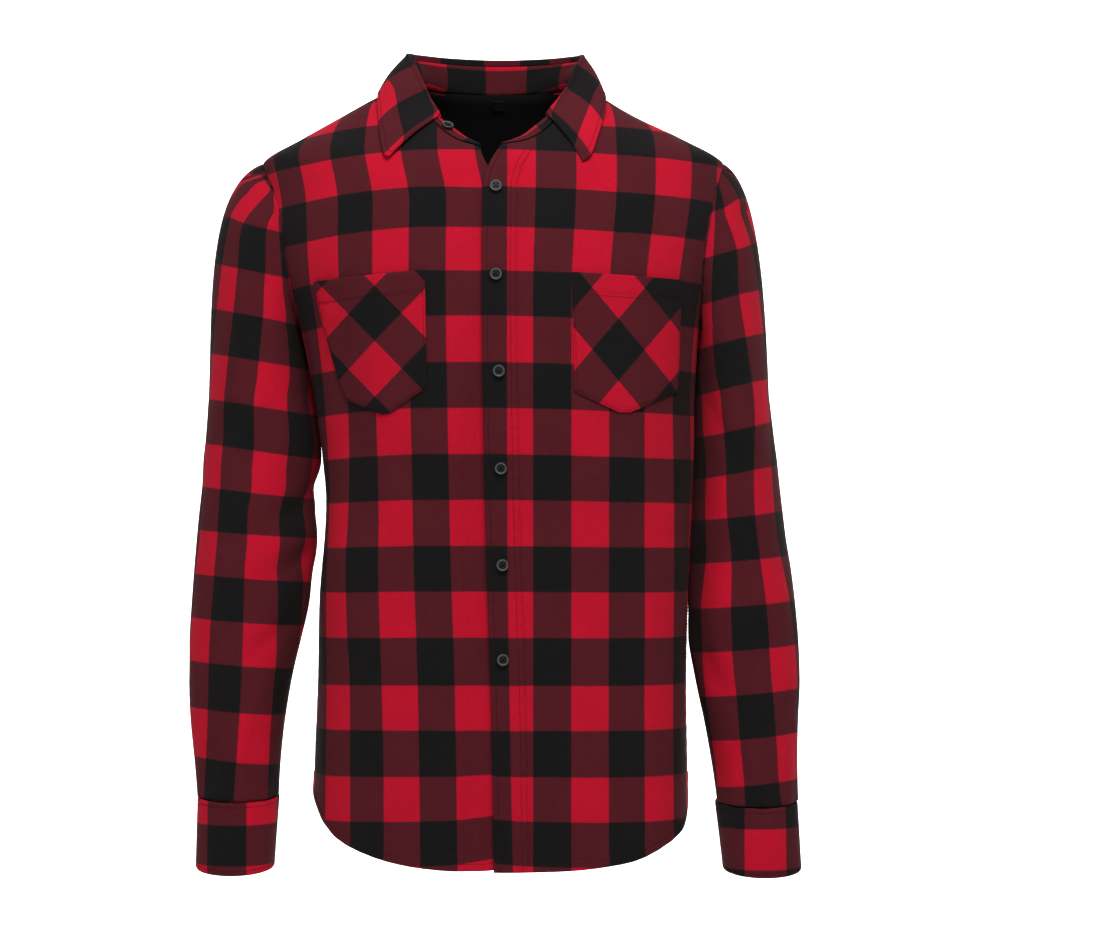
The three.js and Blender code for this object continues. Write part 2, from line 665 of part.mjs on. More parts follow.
// Leaf: a lip inside the neck, the roll, and the fall down to the free edge
{
  const points = [];
  const outs = [];
  for (let i = 0; i <= LEAF_STEPS; i += 1) {
    const { fold, edge, out, lip } = leafStation(i / LEAF_STEPS);
    outs.push(out);
    const near = (o, down) => fold.clone().addScaledVector(out, o).add(vec(0, 0, -down));
    const start = near(ROLL, ROLL);
    const fall = (s) => {
      const p = start.clone().lerp(edge, s);
      const lift = LEAF_BULGE * Math.sin(Math.PI * s) * 0.55;
      return p.addScaledVector(out, lift).add(vec(0, 0, lift * 0.4));
    };
    const row = [near(-ROLL, lip), near(-ROLL * 0.75, ROLL * 0.5), near(0, 0), start];
    row.push(fall(0.28), fall(0.62), edge.clone());
    points.push(row);
  }
  const grid = withNormals(points, false, -1);
  grid.forEach((row, i) => row[0].n.copy(outs[i]).negate());
  add('collar_leaf', wallGeometry(grid, BAND), RED);
}

// Stand: from the neck seam up to the lip of the leaf, with open rounded front ends
const STAND_LEAF_FROM = 0.15;
const STAND_END_STEPS = 3;

function neckSeat(s) {
  if (s <= 0.25 || s >= 0.75) {
    const table = s < 0.5 ? NECK_RIGHT : NECK_LEFT;
    const share = s < 0.5 ? 4 * s : 4 * (1 - s);
    const z = look(table, 'share', 'z', share);
    const turn = turnAt(look(table, 'share', 'x', share), z);
    return skin(turn, z);
  }
  const turn = turnByLength(0, 180, 360, 2 * s - 0.5);
  return skin(turn, -BACK_NECK_DROP * Math.sin(turn * RAD) ** 2);
}

{
  const stations = [];
  for (let i = 0; i < STAND_END_STEPS; i += 1) {
    const spec = STAND_ENDS.right[STAND_END_STEPS - 1 - i];
    stations.push({ s: (STAND_LEAF_FROM * i) / STAND_END_STEPS, spec });
  }
  for (let i = 0; i <= LEAF_STEPS; i += 1) {
    const t = i / LEAF_STEPS;
    stations.push({ s: mix(STAND_LEAF_FROM, 1 - STAND_LEAF_FROM, t), t });
  }
  for (let i = STAND_END_STEPS - 1; i >= 0; i -= 1) {
    const spec = STAND_ENDS.left[STAND_END_STEPS - 1 - i];
    stations.push({ s: 1 - (STAND_LEAF_FROM * i) / STAND_END_STEPS, spec });
  }
  const points = stations.map(({ s, t, spec }) => {
    const { p, n } = neckSeat(s);
    const before = neckSeat(Math.max(0, s - 0.02)).p;
    const after = neckSeat(Math.min(1, s + 0.02)).p;
    const off = after.sub(before).cross(n).normalize();
    if (off.dot(NECK_CENTRE.clone().sub(p)) < 0) off.negate();
    const base = p.clone().addScaledVector(off, 1.6).add(vec(0, 0, 1));
    if (spec) {
      const top = vec(spec.x, spec.y, spec.z);
      return [0, 0.5, 1].map((k) => base.clone().lerp(top, k * spec.height));
    }
    const { fold, out, lip } = leafStation(t);
    const top = fold.clone().addScaledVector(out, -ROLL + BAND).add(vec(0, 0, -lip - SEAM - 0.2));
    return [0, 0.5, 1].map((k) => base.clone().lerp(top, k));
  });
  const grid = withNormals(points, false, 1);
  stations.forEach(({ t }, i) => {
    if (t !== undefined) grid[i][2].n = leafStation(t).out;
  });
  add('collar_stand', wallGeometry(grid, BAND), DARK);
}

// Neck label: a small plain tab on the lining under the stand
{
  const grid = [0, 1].map((v) => [-1, 0, 1].map((u) => {
    const z = -BACK_NECK_DROP - 2 - LABEL_HEIGHT * (1 - v);
    const turn = 270 + Math.atan2((u * LABEL_WIDTH) / 2, look(BODY, 'z', 'back', z)) / RAD;
    return skin(turn, z, -CLOTH - 2 * LAID_ON - 1.2);
  }));
  add('neck_label', wallGeometry(grid, LABEL_THICK), BLACK);
}

// Sleeves: the first ring is the armhole, the cap runs down to level rings
function armLoop(side) {
  const loop = [];
  for (let i = ARMHOLE_STEPS; i >= 0; i -= 1) {
    const v = i / ARMHOLE_STEPS;
    loop.push({ turn: armholeTurn(side, v, 'front'), z: look(ARMHOLE, 'share', 'z', v) });
  }
  for (let i = 1; i <= BACK_STEPS; i += 1) {
    const v = (i / BACK_STEPS) * YOKE_SHARE;
    const z = i === BACK_STEPS ? YOKE_SEAM_Z : look(ARMHOLE, 'share', 'z', v);
    loop.push({ turn: armholeTurn(side, v, 'back'), z });
  }
  for (let i = 1; i < YOKE_STEPS; i += 1) {
    const v = mix(YOKE_SHARE, 1, i / YOKE_STEPS);
    loop.push({ turn: armholeTurn(side, v, 'back'), z: look(ARMHOLE, 'share', 'z', v) });
  }
  return loop;
}

const AROUND = ARMHOLE_STEPS + BACK_STEPS + YOKE_STEPS;
const armTurn = (i) => {
  if (i <= ARMHOLE_STEPS) return (180 * i) / ARMHOLE_STEPS;
  return 180 + (180 * (i - ARMHOLE_STEPS)) / (BACK_STEPS + YOKE_STEPS);
};

function sleeveRingPoint(table, side, turn, z) {
  const outer = look(table, 'z', 'outer', z);
  const inner = look(table, 'z', 'inner', z);
  const y = look(table, 'z', 'y', z);
  const deep = look(table, 'z', 'deep', z);
  const tilt = look(table, 'z', 'tilt', z);
  const wide = Math.abs(outer - inner) / 2;
  const c = Math.cos(turn * RAD);
  const s = Math.sin(turn * RAD);
  const p = vec((outer + inner) / 2 + side * wide * c, y - deep * s, z - tilt * deep * s);
  let fold = 0;
  for (const f of SLEEVE_FOLDS) {
    if ((f.arm === 'left') === (side > 0)) {
      const up = z - f.z;
      const off = turn - f.turn - f.slope * up;
      fold += f.depth * Math.exp(-((up / f.long) ** 2) - (off / f.wide) ** 2);
    }
  }
  const out = vec(side * c * deep, -s * wide, 0).normalize();
  return p.addScaledVector(out, fold);
}

const sleeveRows = {};
for (const side of [-1, 1]) {
  const table = side > 0 ? SLEEVE_LEFT : SLEEVE_RIGHT;
  const reach = side > 0 ? CAP_LEFT : CAP_RIGHT;
  const loop = armLoop(side);
  const starts = loop.map(({ turn, z }) => skin(turn, z).p.add(vec(side * 0.9, 0, 0)));
  const points = [];
  for (let k = 0; k < CAP_STEPS; k += 1) {
    const s = k / CAP_STEPS;
    points.push(starts.map((a, i) => {
      const turn = armTurn(i);
      const high = (1 + Math.cos(turn * RAD)) / 2;
      const b = sleeveRingPoint(table, side, turn, table[0].z);
      const go = vec(side * reach * high ** 1.75, -12 * Math.sin(turn * RAD), -30 - 25 * high);
      const land = vec(side * 10 * high, 0, -60 - 200 * high);
      const p = a.clone().multiplyScalar((1 + 2 * s) * (1 - s) ** 2);
      p.addScaledVector(go, s * (1 - s) ** 2);
      p.addScaledVector(b, s * s * (3 - 2 * s));
      return p.addScaledVector(land, s * s * (s - 1));
    }));
  }
  for (const row of table) {
    points.push(starts.map((a, i) => sleeveRingPoint(table, side, armTurn(i), row.z)));
  }
  points.reverse();
  sleeveRows[side] = points;
  const name = side > 0 ? 'sleeve_left' : 'sleeve_right';
  add(name, wallGeometry(withNormals(points, true, -side), CLOTH, true), RED);
}

// Cuffs: one band round the wrist whose end laps over its start
function cuffPoint(cuff, turn, v, out) {
  const key = (name) => mix(cuff.bottom[name], cuff.top[name], v);
  const c = Math.cos(turn * RAD);
  const s = Math.sin(turn * RAD);
  const wide = key('wide') + out;
  const deep = key('deep') + out;
  return vec(key('x') + cuff.side * wide * c, key('y') - deep * s, key('z') - key('tilt') * deep * s);
}

for (const [name, cuff] of Object.entries(CUFFS)) {
  const steps = 26;
  const total = 360 + CUFF_LAP;
  const points = [0, 0.5, 1].map((v) => {
    const row = [];
    for (let i = 0; i <= steps; i += 1) {
      const turn = CUFF_LAP_TURN + (total * i) / steps;
      const lapped = Math.max(0, (i / steps) * total - 300) / 60;
      row.push(cuffPoint(cuff, turn, v, Math.min(1, lapped) * (BAND + 0.6)));
    }
    return row;
  });
  add(`cuff_${name}`, wallGeometry(withNormals(points, false, -cuff.side), BAND), RED);
}

// Pockets: laid on the fronts, straight sides and a blunt pointed bottom
for (const [name, rows] of Object.entries(POCKETS)) {
  const across = 6;
  const down = 6;
  const grid = [];
  for (let r = 0; r <= down; r += 1) {
    const place = (r / down) * (rows.length - 1);
    const i = Math.min(rows.length - 2, Math.floor(place));
    const key = (k) => mix(rows[i][k], rows[i + 1][k], place - i);
    const row = [];
    for (let c = 0; c <= across; c += 1) {
      const u = c / across;
      const reach = u < POCKET_POINT_AT ? u / POCKET_POINT_AT : (1 - u) / (1 - POCKET_POINT_AT);
      const point = POCKET_POINT * Math.min(1, reach * 1.12) * (r / down) ** 3;
      const x = mix(key('x1'), key('x2'), u);
      const z = mix(key('z1'), key('z2'), u) - point;
      row.push(skin(turnAt(x, z), z, LAID_ON + CLOTH));
    }
    grid.push(row);
  }
  add(`pocket_${name}`, wallGeometry(grid, CLOTH), DARK);
}

// Four-hole button on a surface point
function buttonGeometry(p, n) {
  const shape = new THREE.Shape();
  shape.absarc(0, 0, BUTTON_RADIUS, 0, 2 * Math.PI, false);
  for (const [a, b] of [[1, 1], [-1, 1], [-1, -1], [1, -1]]) {
    const hole = new THREE.Path();
    const x = a * BUTTON_HOLE_AT;
    const y = b * BUTTON_HOLE_AT;
    hole.absarc(x, y, BUTTON_HOLE, 0, 2 * Math.PI, true);
    shape.holes.push(hole);
  }
  const solid = new THREE.ExtrudeGeometry(shape, {
    depth: BUTTON_THICK,
    bevelEnabled: false,
    curveSegments: 10,
  });
  const turn = new THREE.Quaternion().setFromUnitVectors(vec(0, 0, 1), n);
  solid.applyQuaternion(turn);
  solid.translate(p.x, p.y, p.z);
  return solid;
}

FRONT_BUTTONS.forEach(({ x, z }, i) => {
  const { p, n } = skin(turnAt(x, z), z, LAID_ON + 1.1 + CLOTH + BUTTON_SEAT);
  add(`button_${i + 1}`, buttonGeometry(p, n), BLACK, 0.4);
});

// Collar button on the right end of the stand
{
  const low = neckSeat(0.1).p;
  const high = vec(STAND_ENDS.right[0].x, STAND_ENDS.right[0].y, STAND_ENDS.right[0].z);
  const along = neckSeat(0.13).p.sub(neckSeat(0.07).p);
  const n = high.clone().sub(low).cross(along).normalize();
  if (n.y > 0) n.negate();
  const p = low.clone().lerp(high, 0.5).addScaledVector(n, 2);
  add('button_collar', buttonGeometry(p, n), BLACK, 0.4);
}

// Cuff buttons on the lapped end of each cuff
for (const [name, cuff] of Object.entries(CUFFS)) {
  const turn = CUFF_LAP_TURN + CUFF_LAP - 14;
  const p = cuffPoint(cuff, turn, 0.5, BAND + 0.6 + BUTTON_SEAT + 0.4);
  const q = cuffPoint(cuff, turn, 0.5, BAND + 5);
  add(`cuff_button_${name}`, buttonGeometry(p, q.sub(p).setZ(0).normalize()), BLACK, 0.4);
}

export default shirt;
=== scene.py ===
import bpy
import numpy as np
from mathutils import Matrix


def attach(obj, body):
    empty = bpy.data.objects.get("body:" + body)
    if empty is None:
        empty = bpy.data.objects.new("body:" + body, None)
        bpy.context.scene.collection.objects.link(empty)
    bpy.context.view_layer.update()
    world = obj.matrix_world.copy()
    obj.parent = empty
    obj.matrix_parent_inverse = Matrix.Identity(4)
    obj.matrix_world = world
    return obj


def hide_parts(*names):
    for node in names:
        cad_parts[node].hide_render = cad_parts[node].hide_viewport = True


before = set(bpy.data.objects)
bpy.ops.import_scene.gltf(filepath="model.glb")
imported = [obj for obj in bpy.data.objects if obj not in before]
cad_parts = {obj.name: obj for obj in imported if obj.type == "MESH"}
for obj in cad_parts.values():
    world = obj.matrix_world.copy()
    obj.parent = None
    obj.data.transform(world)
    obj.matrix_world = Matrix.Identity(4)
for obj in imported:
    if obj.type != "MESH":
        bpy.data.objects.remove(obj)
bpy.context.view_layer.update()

# ---------------------------------------------------------------------------
# Fronts. Two shaped pieces of brushed cotton twill in a large two-colour check, cut on the
# straight grain. Side seams join them to the back and shoulder seams to the yoke, and the
# wearer's left laps over the right. The bottom edge is a narrow turned hem.
# ---------------------------------------------------------------------------
CLOTH = 1.2
SEAM = 0.3
UNDERARM_Z = -240.0
SHOULDER_Z = -79.0
UNDERLAP_DROP = 2.6
STRIPE = 34.6
ROW = 41.0


def table(names, *rows):
    """Rows of millimetres as a dictionary of named columns."""
    return dict(zip(names.split(), np.array(rows, float).T))


BODY = table(
    "z right left front back round",
    (-790, 177, 183, 120, 119, 2.9),
    (-647, 173, 180, 119, 116, 2.9),
    (-571, 170, 179, 117, 112, 2.9),
    (-486, 168, 181, 116, 108, 2.9),
    (-400, 160, 185, 118, 107, 2.8),
    (-360, 164, 187, 121, 109, 2.7),
    (-300, 174, 188, 125, 113, 2.6),
    (-235, 188, 193, 127, 117, 2.5),
    (-188, 205, 203, 125, 119, 2.5),
    (-147, 213, 209, 119, 118, 2.5),
    (-110, 217, 213, 110, 114, 2.4),
    (-79, 222, 214, 99, 109, 2.3),
    (-57, 186, 176, 83, 104, 2.3),
    (-36, 149, 132, 64, 98, 2.3),
    (-20, 121, 105, 46, 93, 2.3),
    (-8, 98, 88, 29, 88, 2.3),
    (0, 82, 77, 14, 84, 2.3),
)
TOP_EDGE = table(
    "z x",
    (-790, -1), (-580, -4), (-460, -8), (-314, -11),
    (-200, -12.5), (-107, -11.7), (-86, -4.6), (-70, 5.6),
)
UNDER_EDGE = table("z x", (-790, 24), (-200, 15), (-130, 13), (-107, 8), (-86, -4), (-72, -14))
NECK_RIGHT = table(
    "share x z", (0, -14, -72), (0.25, -38, -64), (0.5, -58, -47), (0.75, -73, -25), (1, -82, 0)
)
NECK_LEFT = table(
    "share x z", (0, 5.6, -70), (0.25, 32, -64), (0.5, 53, -48), (0.75, 68, -26), (1, 77, 0)
)
HEM = table(
    "share right left back",
    (0, -735, -740, -754),
    (0.14, -739, -740, -754),
    (0.28, -738, -739, -752),
    (0.4, -734, -736, -746),
    (0.52, -726, -731, -734),
    (0.66, -711, -718, -713),
    (0.8, -686, -703, -689),
    (0.9, -673, -686, -673),
    (1, -662, -662, -662),
)
ARMHOLE = table(
    "share z front back",
    (0, -240, 0, 0),
    (0.1, -236, 18, 19),
    (0.22, -224, 37, 39),
    (0.36, -202, 50, 53),
    (0.5, -176, 56, 60),
    (0.64, -147, 54, 58),
    (0.78, -118, 44, 48),
    (0.9, -94, 26, 28),
    (1, SHOULDER_Z, 0, 0),
)
# Soft troughs (depth below 0) and ridges of the body, each on a straight line; face 1 is
# the front and -1 the back
BODY_FOLDS = table(
    "face x1 z1 x2 z2 width depth",
    (1, -22, -250, -20, -735, 11, -4),
    (1, -36, -560, -38, -745, 13, 3),
    (1, -150, -215, -118, -420, 20, -4),
    (1, -165, -330, -130, -520, 18, 3),
    (1, 52, -520, 60, -735, 24, -3),
    (1, 120, -420, 108, -700, 26, -3),
    (1, 168, -260, 150, -430, 20, -3),
    (1, -28, -84, -46, -150, 7, -1.6),
    (1, 46, -84, 58, -150, 8, -1.5),
    (1, -96, -330, -70, -400, 10, -1.4),
    (1, 30, -330, 62, -372, 9, -1.2),
    (1, -128, -560, -96, -700, 15, -1.8),
    (1, 140, -480, 150, -560, 10, 1.5),
    (-1, -60, -330, -48, -700, 26, -5),
    (-1, 20, -260, 14, -600, 22, -3),
    (-1, 92, -380, 76, -720, 28, -5),
    (-1, -150, -215, -115, -380, 20, -4),
    (-1, 155, -215, 122, -360, 20, -4),
    (-1, -20, -140, -34, -260, 14, -1.5),
    (-1, 60, -140, 66, -230, 12, -1.4),
    (-1, -120, -520, -108, -640, 14, 1.6),
)
# Heights of the filling yarns' stripes at the middle of the chest, bottom to top
ROWS = table(
    "z row",
    (-778, -13), (-736, -12), (-694.3, -11), (-653, -10), (-610, -9), (-568.8, -8),
    (-524.8, -7), (-482.6, -6), (-440.5, -5), (-398.3, -4), (-356.2, -3), (-314, -2),
    (-271.9, -1), (-229.5, 0), (-187.9, 1), (-147.7, 2), (-110, 3), (-74.6, 4),
    (-46, 5), (-20, 6), (0, 7), (14, 8),
)
# How far the stripes sag towards the arm, by sideways place
SAG = table("x right left", (0, 0, 0), (70, 0, 2), (106, 2.4, 4), (140, 6, 5.5), (178, 12, 8), (225, 19, 12))


def look(t, key, column, value):
    """Smooth value between rows: a cubic through each pair, whose end slopes are the mean of the
    neighbouring slopes, held to three times the pair's own slope.
    """
    x, y = t[key], t[column]
    if x[0] > x[-1]:
        x, y = x[::-1], y[::-1]
    h = np.diff(x)
    m = np.diff(y) / h

    def held(s):
        return np.where(s * m <= 0, 0, np.sign(m) * np.minimum(abs(s), 3 * abs(m)))

    low = held(np.concatenate([m[:1], (m[:-1] + m[1:]) / 2]))
    high = held(np.concatenate([(m[:-1] + m[1:]) / 2, m[-1:]]))
    v = np.clip(value, x[0], x[-1])
    i = np.clip(np.searchsorted(x, v, side="right") - 1, 0, len(m) - 1)
    s = (v - x[i]) / h[i]
    ends = y[i] * (1 + 2 * s) * (1 - s) ** 2 + y[i + 1] * s * s * (3 - 2 * s)
    return ends + h[i] * (low[i] * s * (1 - s) ** 2 + high[i] * s * s * (s - 1))


def mix(a, b, t):
    """Straight blend from a to b."""
    return a + (b - a) * t


def step(low, high, x):
    """Smooth rise from 0 at low to 1 at high."""
    t = np.clip((x - low) / (high - low), 0, 1)
    return t * t * (3 - 2 * t)


def bell(d, width):
    """Bell of height 1 round 0."""
    return np.exp(-((d / width) ** 2))


def unit(v):
    """Vectors divided by their length."""
    return v / np.maximum(np.linalg.norm(v, axis=-1, keepdims=True), 1e-9)


def body_point(turn, z):
    """Place on the body form: at each level a rounded rectangle, radius = (|cos/half width|^n +
    |sin/depth|^n)^(-1/n). Turn 0 is the wearer's left, 90 the front.
    """
    turn, z = np.broadcast_arrays(np.asarray(turn, float), np.asarray(z, float))
    c, s = np.cos(np.radians(turn)), np.sin(np.radians(turn))
    wide = np.where(c < 0, look(BODY, "z", "right", z), look(BODY, "z", "left", z))
    deep = np.where(s > 0, look(BODY, "z", "front", z), look(BODY, "z", "back", z))
    n = look(BODY, "z", "round", z)
    r = (abs(c / wide) ** n + abs(s / deep) ** n) ** (-1 / n)
    return np.stack([r * c, -r * s, z], -1)


def fold_depth(p):
    """Sum of the folds: depth times a bell across the line, faded along it by the sine of the way
    along.
    """
    depth = np.zeros(p.shape[:-1])
    for face, x1, z1, x2, z2, width, deep in zip(*BODY_FOLDS.values()):
        dx, dz = x2 - x1, z2 - z1
        along = ((p[..., 0] - x1) * dx + (p[..., 2] - z1) * dz) / (dx * dx + dz * dz)
        t = np.clip(along, 0, 1)
        off = np.hypot(p[..., 0] - x1 - dx * t, p[..., 2] - z1 - dz * t)
        fade = np.sin(np.pi * np.clip(along, 0.08, 0.85)) ** 0.6
        depth += np.where(p[..., 1] * face < 0, deep * fade * bell(off, width), 0)
    return depth


def folded(turn, z):
    """Body form moved along its own normal by the folds."""
    a = body_point(turn + 0.4, z) - body_point(turn - 0.4, z)
    b = body_point(turn, np.minimum(0, z + 1)) - body_point(turn, z - 1)
    p = body_point(turn, z)
    return p + unit(np.cross(b, a)) * fold_depth(p)[..., None]


def skin(turn, z, out=0.0):
    """Point of the folded cloth moved outwards, and its normal from two short steps on the
    surface.
    """
    turn, z = np.broadcast_arrays(np.asarray(turn, float), np.asarray(z, float))
    a = folded(turn + 0.5, z) - folded(turn - 0.5, z)
    b = folded(turn, np.minimum(0, z + 1.5)) - folded(turn, z - 1.5)
    n = unit(np.cross(b, a))
    return folded(turn, z) + n * np.broadcast_to(out, z.shape)[..., None], n


def turn_at(x, z):
    """Turn on the front at a sideways place: the depth solved from the rounded rectangle."""
    wide = np.where(x < 0, look(BODY, "z", "right", z), look(BODY, "z", "left", z))
    n = look(BODY, "z", "round", z)
    y = look(BODY, "z", "front", z) * (1 - np.clip(abs(x) / wide, 0, 1) ** n) ** (1 / n)
    return np.degrees(np.arctan2(y, x))


def arc(z, start, end):
    """Length of cloth round one level between two turns, by 48 short chords; its running total
    too.
    """
    z, start, end = np.broadcast_arrays(*(np.asarray(a, float) for a in (z, start, end)))
    t = np.linspace(0, 1, 49)
    p = body_point(mix(start[..., None], end[..., None], t), z[..., None])
    run = np.cumsum(np.linalg.norm(np.diff(p, axis=-2), axis=-1), axis=-1)
    return run[..., -1], np.concatenate([np.zeros(z.shape + (1,)), run], -1)


def turn_by_length(z, start, end, share):
    """Turn at a share of the cloth's length between two turns of one level."""
    z, start, end, share = np.broadcast_arrays(*(np.asarray(a, float) for a in (z, start, end, share)))
    total, run = arc(z, start, end)
    goal = (share * total)[..., None]
    i = np.clip((run < goal).sum(-1), 1, 48)
    low = np.take_along_axis(run, i[..., None] - 1, -1)[..., 0]
    high = np.take_along_axis(run, i[..., None], -1)[..., 0]
    return mix(start, end, (i - 1 + (goal[..., 0] - low) / (high - low)) / 48)


def gap_turn(turn, z):
    """Turn that opens half a seam gap at one level."""
    p = body_point(turn, z)
    return np.degrees(0.6 * SEAM / np.hypot(p[..., 0], p[..., 1]))


def armhole_turn(side, share, face):
    """Turn of the armhole's edge, found by halving until the body form's depth is the armhole's."""
    z, y = look(ARMHOLE, "share", "z", share), look(ARMHOLE, "share", face, share)
    sign = 1 if face == "front" else -1
    low, high = np.zeros_like(z), np.full_like(z, 60.0)
    for _ in range(40):
        middle = (low + high) / 2
        inside = abs(body_point(sign * middle, z)[..., 1]) < y
        low, high = np.where(inside, middle, low), np.where(inside, high, middle)
    return sign * low if side > 0 else 180 - sign * low


def patch(bottom, top, first, last, u, v):
    """Four-sided patch: the blend of opposite edges both ways, less the blend of its corners."""
    b, t, f, l = bottom(u), top(u), first(v), last(v)
    zero, one = np.zeros(1), np.ones(1)
    b0, b1, t0, t1 = bottom(zero), bottom(one), top(zero), top(one)
    return [
        mix(b[k], t[k], v) + mix(f[k], l[k], u) - mix(mix(b0[k], b1[k], u), mix(t0[k], t1[k], u), v)
        for k in (0, 1)
    ]


def normals(p, out):
    """Normals of a grid of points from the steps along and across it, on the side of out."""
    n = unit(np.cross(np.gradient(p, axis=1), np.gradient(p, axis=0)))
    return n if (n * out).sum() > 0 else -n


def cloth(name, p, cells, out, wall, wrap=False):
    """Quad mesh on a grid of points in millimetres, wall thick inwards. cells counts the check's
    stripes across and along and is the UV map. The grid is reversed if its faces look away from
    out; wrap joins the last column to the first.
    """
    facing = np.cross(p[:-1, 1:] - p[:-1, :-1], p[1:, :-1] - p[:-1, :-1])
    if (facing * np.broadcast_to(out, p.shape)[:-1, :-1]).sum() < 0:
        p, cells = p[:, ::-1], cells[:, ::-1]
    rows, columns = p.shape[:2]
    kept = columns - 1 if wrap else columns
    index = np.arange(rows)[:, None] * kept + np.arange(columns) % kept
    places = np.arange(rows * columns).reshape(rows, columns)

    def corners(a):
        return np.stack([a[:-1, :-1], a[:-1, 1:], a[1:, 1:], a[1:, :-1]], -1).reshape(-1, 4)

    mesh = bpy.data.meshes.new(name)
    mesh.from_pydata((p[:, :kept].reshape(-1, 3) * 0.001).tolist(), [], corners(index).tolist())
    uv = mesh.uv_layers.new(name="cells")
    uv.data.foreach_set("uv", cells.reshape(-1, 2)[corners(places).ravel()].ravel())
    mesh.polygons.foreach_set("use_smooth", np.ones(len(mesh.polygons), bool))
    piece = bpy.data.objects.new(name, mesh)
    bpy.context.scene.collection.objects.link(piece)
    solid = piece.modifiers.new("wall", "SOLIDIFY")
    solid.thickness, solid.offset = wall * 0.001, -1
    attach(piece, "root")
    return piece


def colour(r, g, b):
    """Paint-chart colour, 0 to 255, as the shader's linear colour."""
    c = np.array([r, g, b]) / 255
    return tuple(np.where(c <= 0.04045, c / 12.92, ((c + 0.055) / 1.055) ** 2.4)) + (1.0,)


class Group:
    """A shader node group or material tree being filled: each call adds one node, sets its
    constants and links its inputs.
    """

    def __init__(self, tree):
        self.tree = tree

    def add(self, kind, inputs=(), **settings):
        """One node; inputs is a dictionary from socket name or number to a value or a socket to
        link.
        """
        node = self.tree.nodes.new(kind)
        for key, value in settings.items():
            setattr(node, key, value)
        for key, value in dict(inputs).items():
            if isinstance(value, bpy.types.NodeSocket):
                self.tree.links.new(value, node.inputs[key])
            else:
                node.inputs[key].default_value = value
        return node

    def sum(self, operation, *values, clamp=False):
        """Output of one Math node."""
        node = self.add("ShaderNodeMath", dict(enumerate(values)), operation=operation, use_clamp=clamp)
        return node.outputs[0]

    def blend(self, factor, a, b):
        """Output of one colour Mix node."""
        return self.add("ShaderNodeMix", {0: factor, 6: a, 7: b}, data_type="RGBA").outputs[2]

    def scale(self, vector, by):
        """Output of one Vector Math node that scales a vector or a colour."""
        return self.add("ShaderNodeVectorMath", {0: vector, "Scale": by}, operation="SCALE").outputs[0]

    def noise(self, place, scale, **more):
        """Outputs of one Noise texture, its value first and then its colour."""
        return self.add("ShaderNodeTexNoise", {"Vector": place, "Scale": scale, **more}).outputs


# Width of one twill line
TWILL = 1.3


def material(name):
    """New material with an empty tree, and the helper that fills it."""
    made = bpy.data.materials.new(name)
    made.use_nodes = True
    made.node_tree.nodes.clear()
    return made, Group(made.node_tree)


def check_group():
    """Woven check with its nap. A stripe is dark where the sine of pi times the count is above 0,
    made steep and cut to 0..1; warp and filling masks pick red, mixed or black. Diagonal twill
    lines show most in mixed squares, and noise gives nap, slubs and lint.
    """
    tree = bpy.data.node_groups.new("brushed_check", "ShaderNodeTree")
    for name, kind in (("Cells", "Vector"), ("Red", "Color"), ("Mixed", "Color"), ("Black", "Color")):
        tree.interface.new_socket(name, in_out="INPUT", socket_type=f"NodeSocket{kind}")
    for name, kind in (("Color", "Color"), ("Height", "Float")):
        tree.interface.new_socket(name, in_out="OUTPUT", socket_type=f"NodeSocket{kind}")
    g = Group(tree)
    given = g.add("NodeGroupInput").outputs
    place = g.add("ShaderNodeTexCoord").outputs["Object"]
    fuzz = g.noise(place, 900.0, Detail=2.0)
    middle = {0: fuzz["Color"], 1: (0.5, 0.5, 0.5)}
    nudge = g.scale(g.add("ShaderNodeVectorMath", middle, operation="SUBTRACT").outputs[0], 0.035)
    cells = g.add("ShaderNodeVectorMath", {0: given["Cells"], 1: nudge}, operation="ADD").outputs[0]
    axis = g.add("ShaderNodeSeparateXYZ", {0: cells}).outputs
    masks = []
    for k in (0, 1):
        wave = g.sum("SINE", g.sum("MULTIPLY", axis[k], np.pi))
        masks.append(g.sum("MULTIPLY_ADD", wave, 12.0, 0.5, clamp=True))
    warp, filling = masks
    light = g.blend(warp, given["Red"], given["Mixed"])
    dark = g.blend(warp, given["Mixed"], given["Black"])
    base = g.blend(filling, light, dark)
    plain = g.add("ShaderNodeSeparateXYZ", {0: given["Cells"]}).outputs
    across = g.sum("MULTIPLY", plain[0], STRIPE / TWILL)
    along = g.sum("MULTIPLY", plain[1], 41.5 / TWILL)
    twill = g.sum("SINE", g.sum("MULTIPLY", g.sum("ADD", across, along), 2 * np.pi))
    both = g.sum("MULTIPLY", warp, filling)
    mixed = g.sum("SUBTRACT", g.sum("ADD", warp, filling), g.sum("MULTIPLY", both, 2.0))
    strength = g.sum("MULTIPLY_ADD", mixed, 0.13, 0.05)
    nap = g.noise(place, 420.0, Detail=5.0, Roughness=0.7)[0]
    cloud = g.noise(place, 26.0, Detail=3.0)[0]
    value = g.sum("ADD", g.sum("MULTIPLY", twill, strength), 1.0)
    value = g.sum("MULTIPLY_ADD", g.sum("SUBTRACT", nap, 0.5), 0.34, value)
    value = g.sum("MULTIPLY_ADD", g.sum("SUBTRACT", cloud, 0.5), 0.22, value)
    shaded = g.scale(base, value)
    lint = g.sum("MULTIPLY", g.sum("SUBTRACT", fuzz[0], 0.66, clamp=True), 0.5)
    shaded = g.blend(lint, shaded, colour(150, 110, 112))
    height = g.sum("MULTIPLY_ADD", nap, 1.4, g.sum("MULTIPLY", twill, 0.3))
    g.add("NodeGroupOutput", {"Color": shaded, "Height": height})
    return tree


CHECK = check_group()
RED = colour(200, 12, 44)
MIXED = colour(86, 23, 32)
BLACK = colour(19, 18, 19)


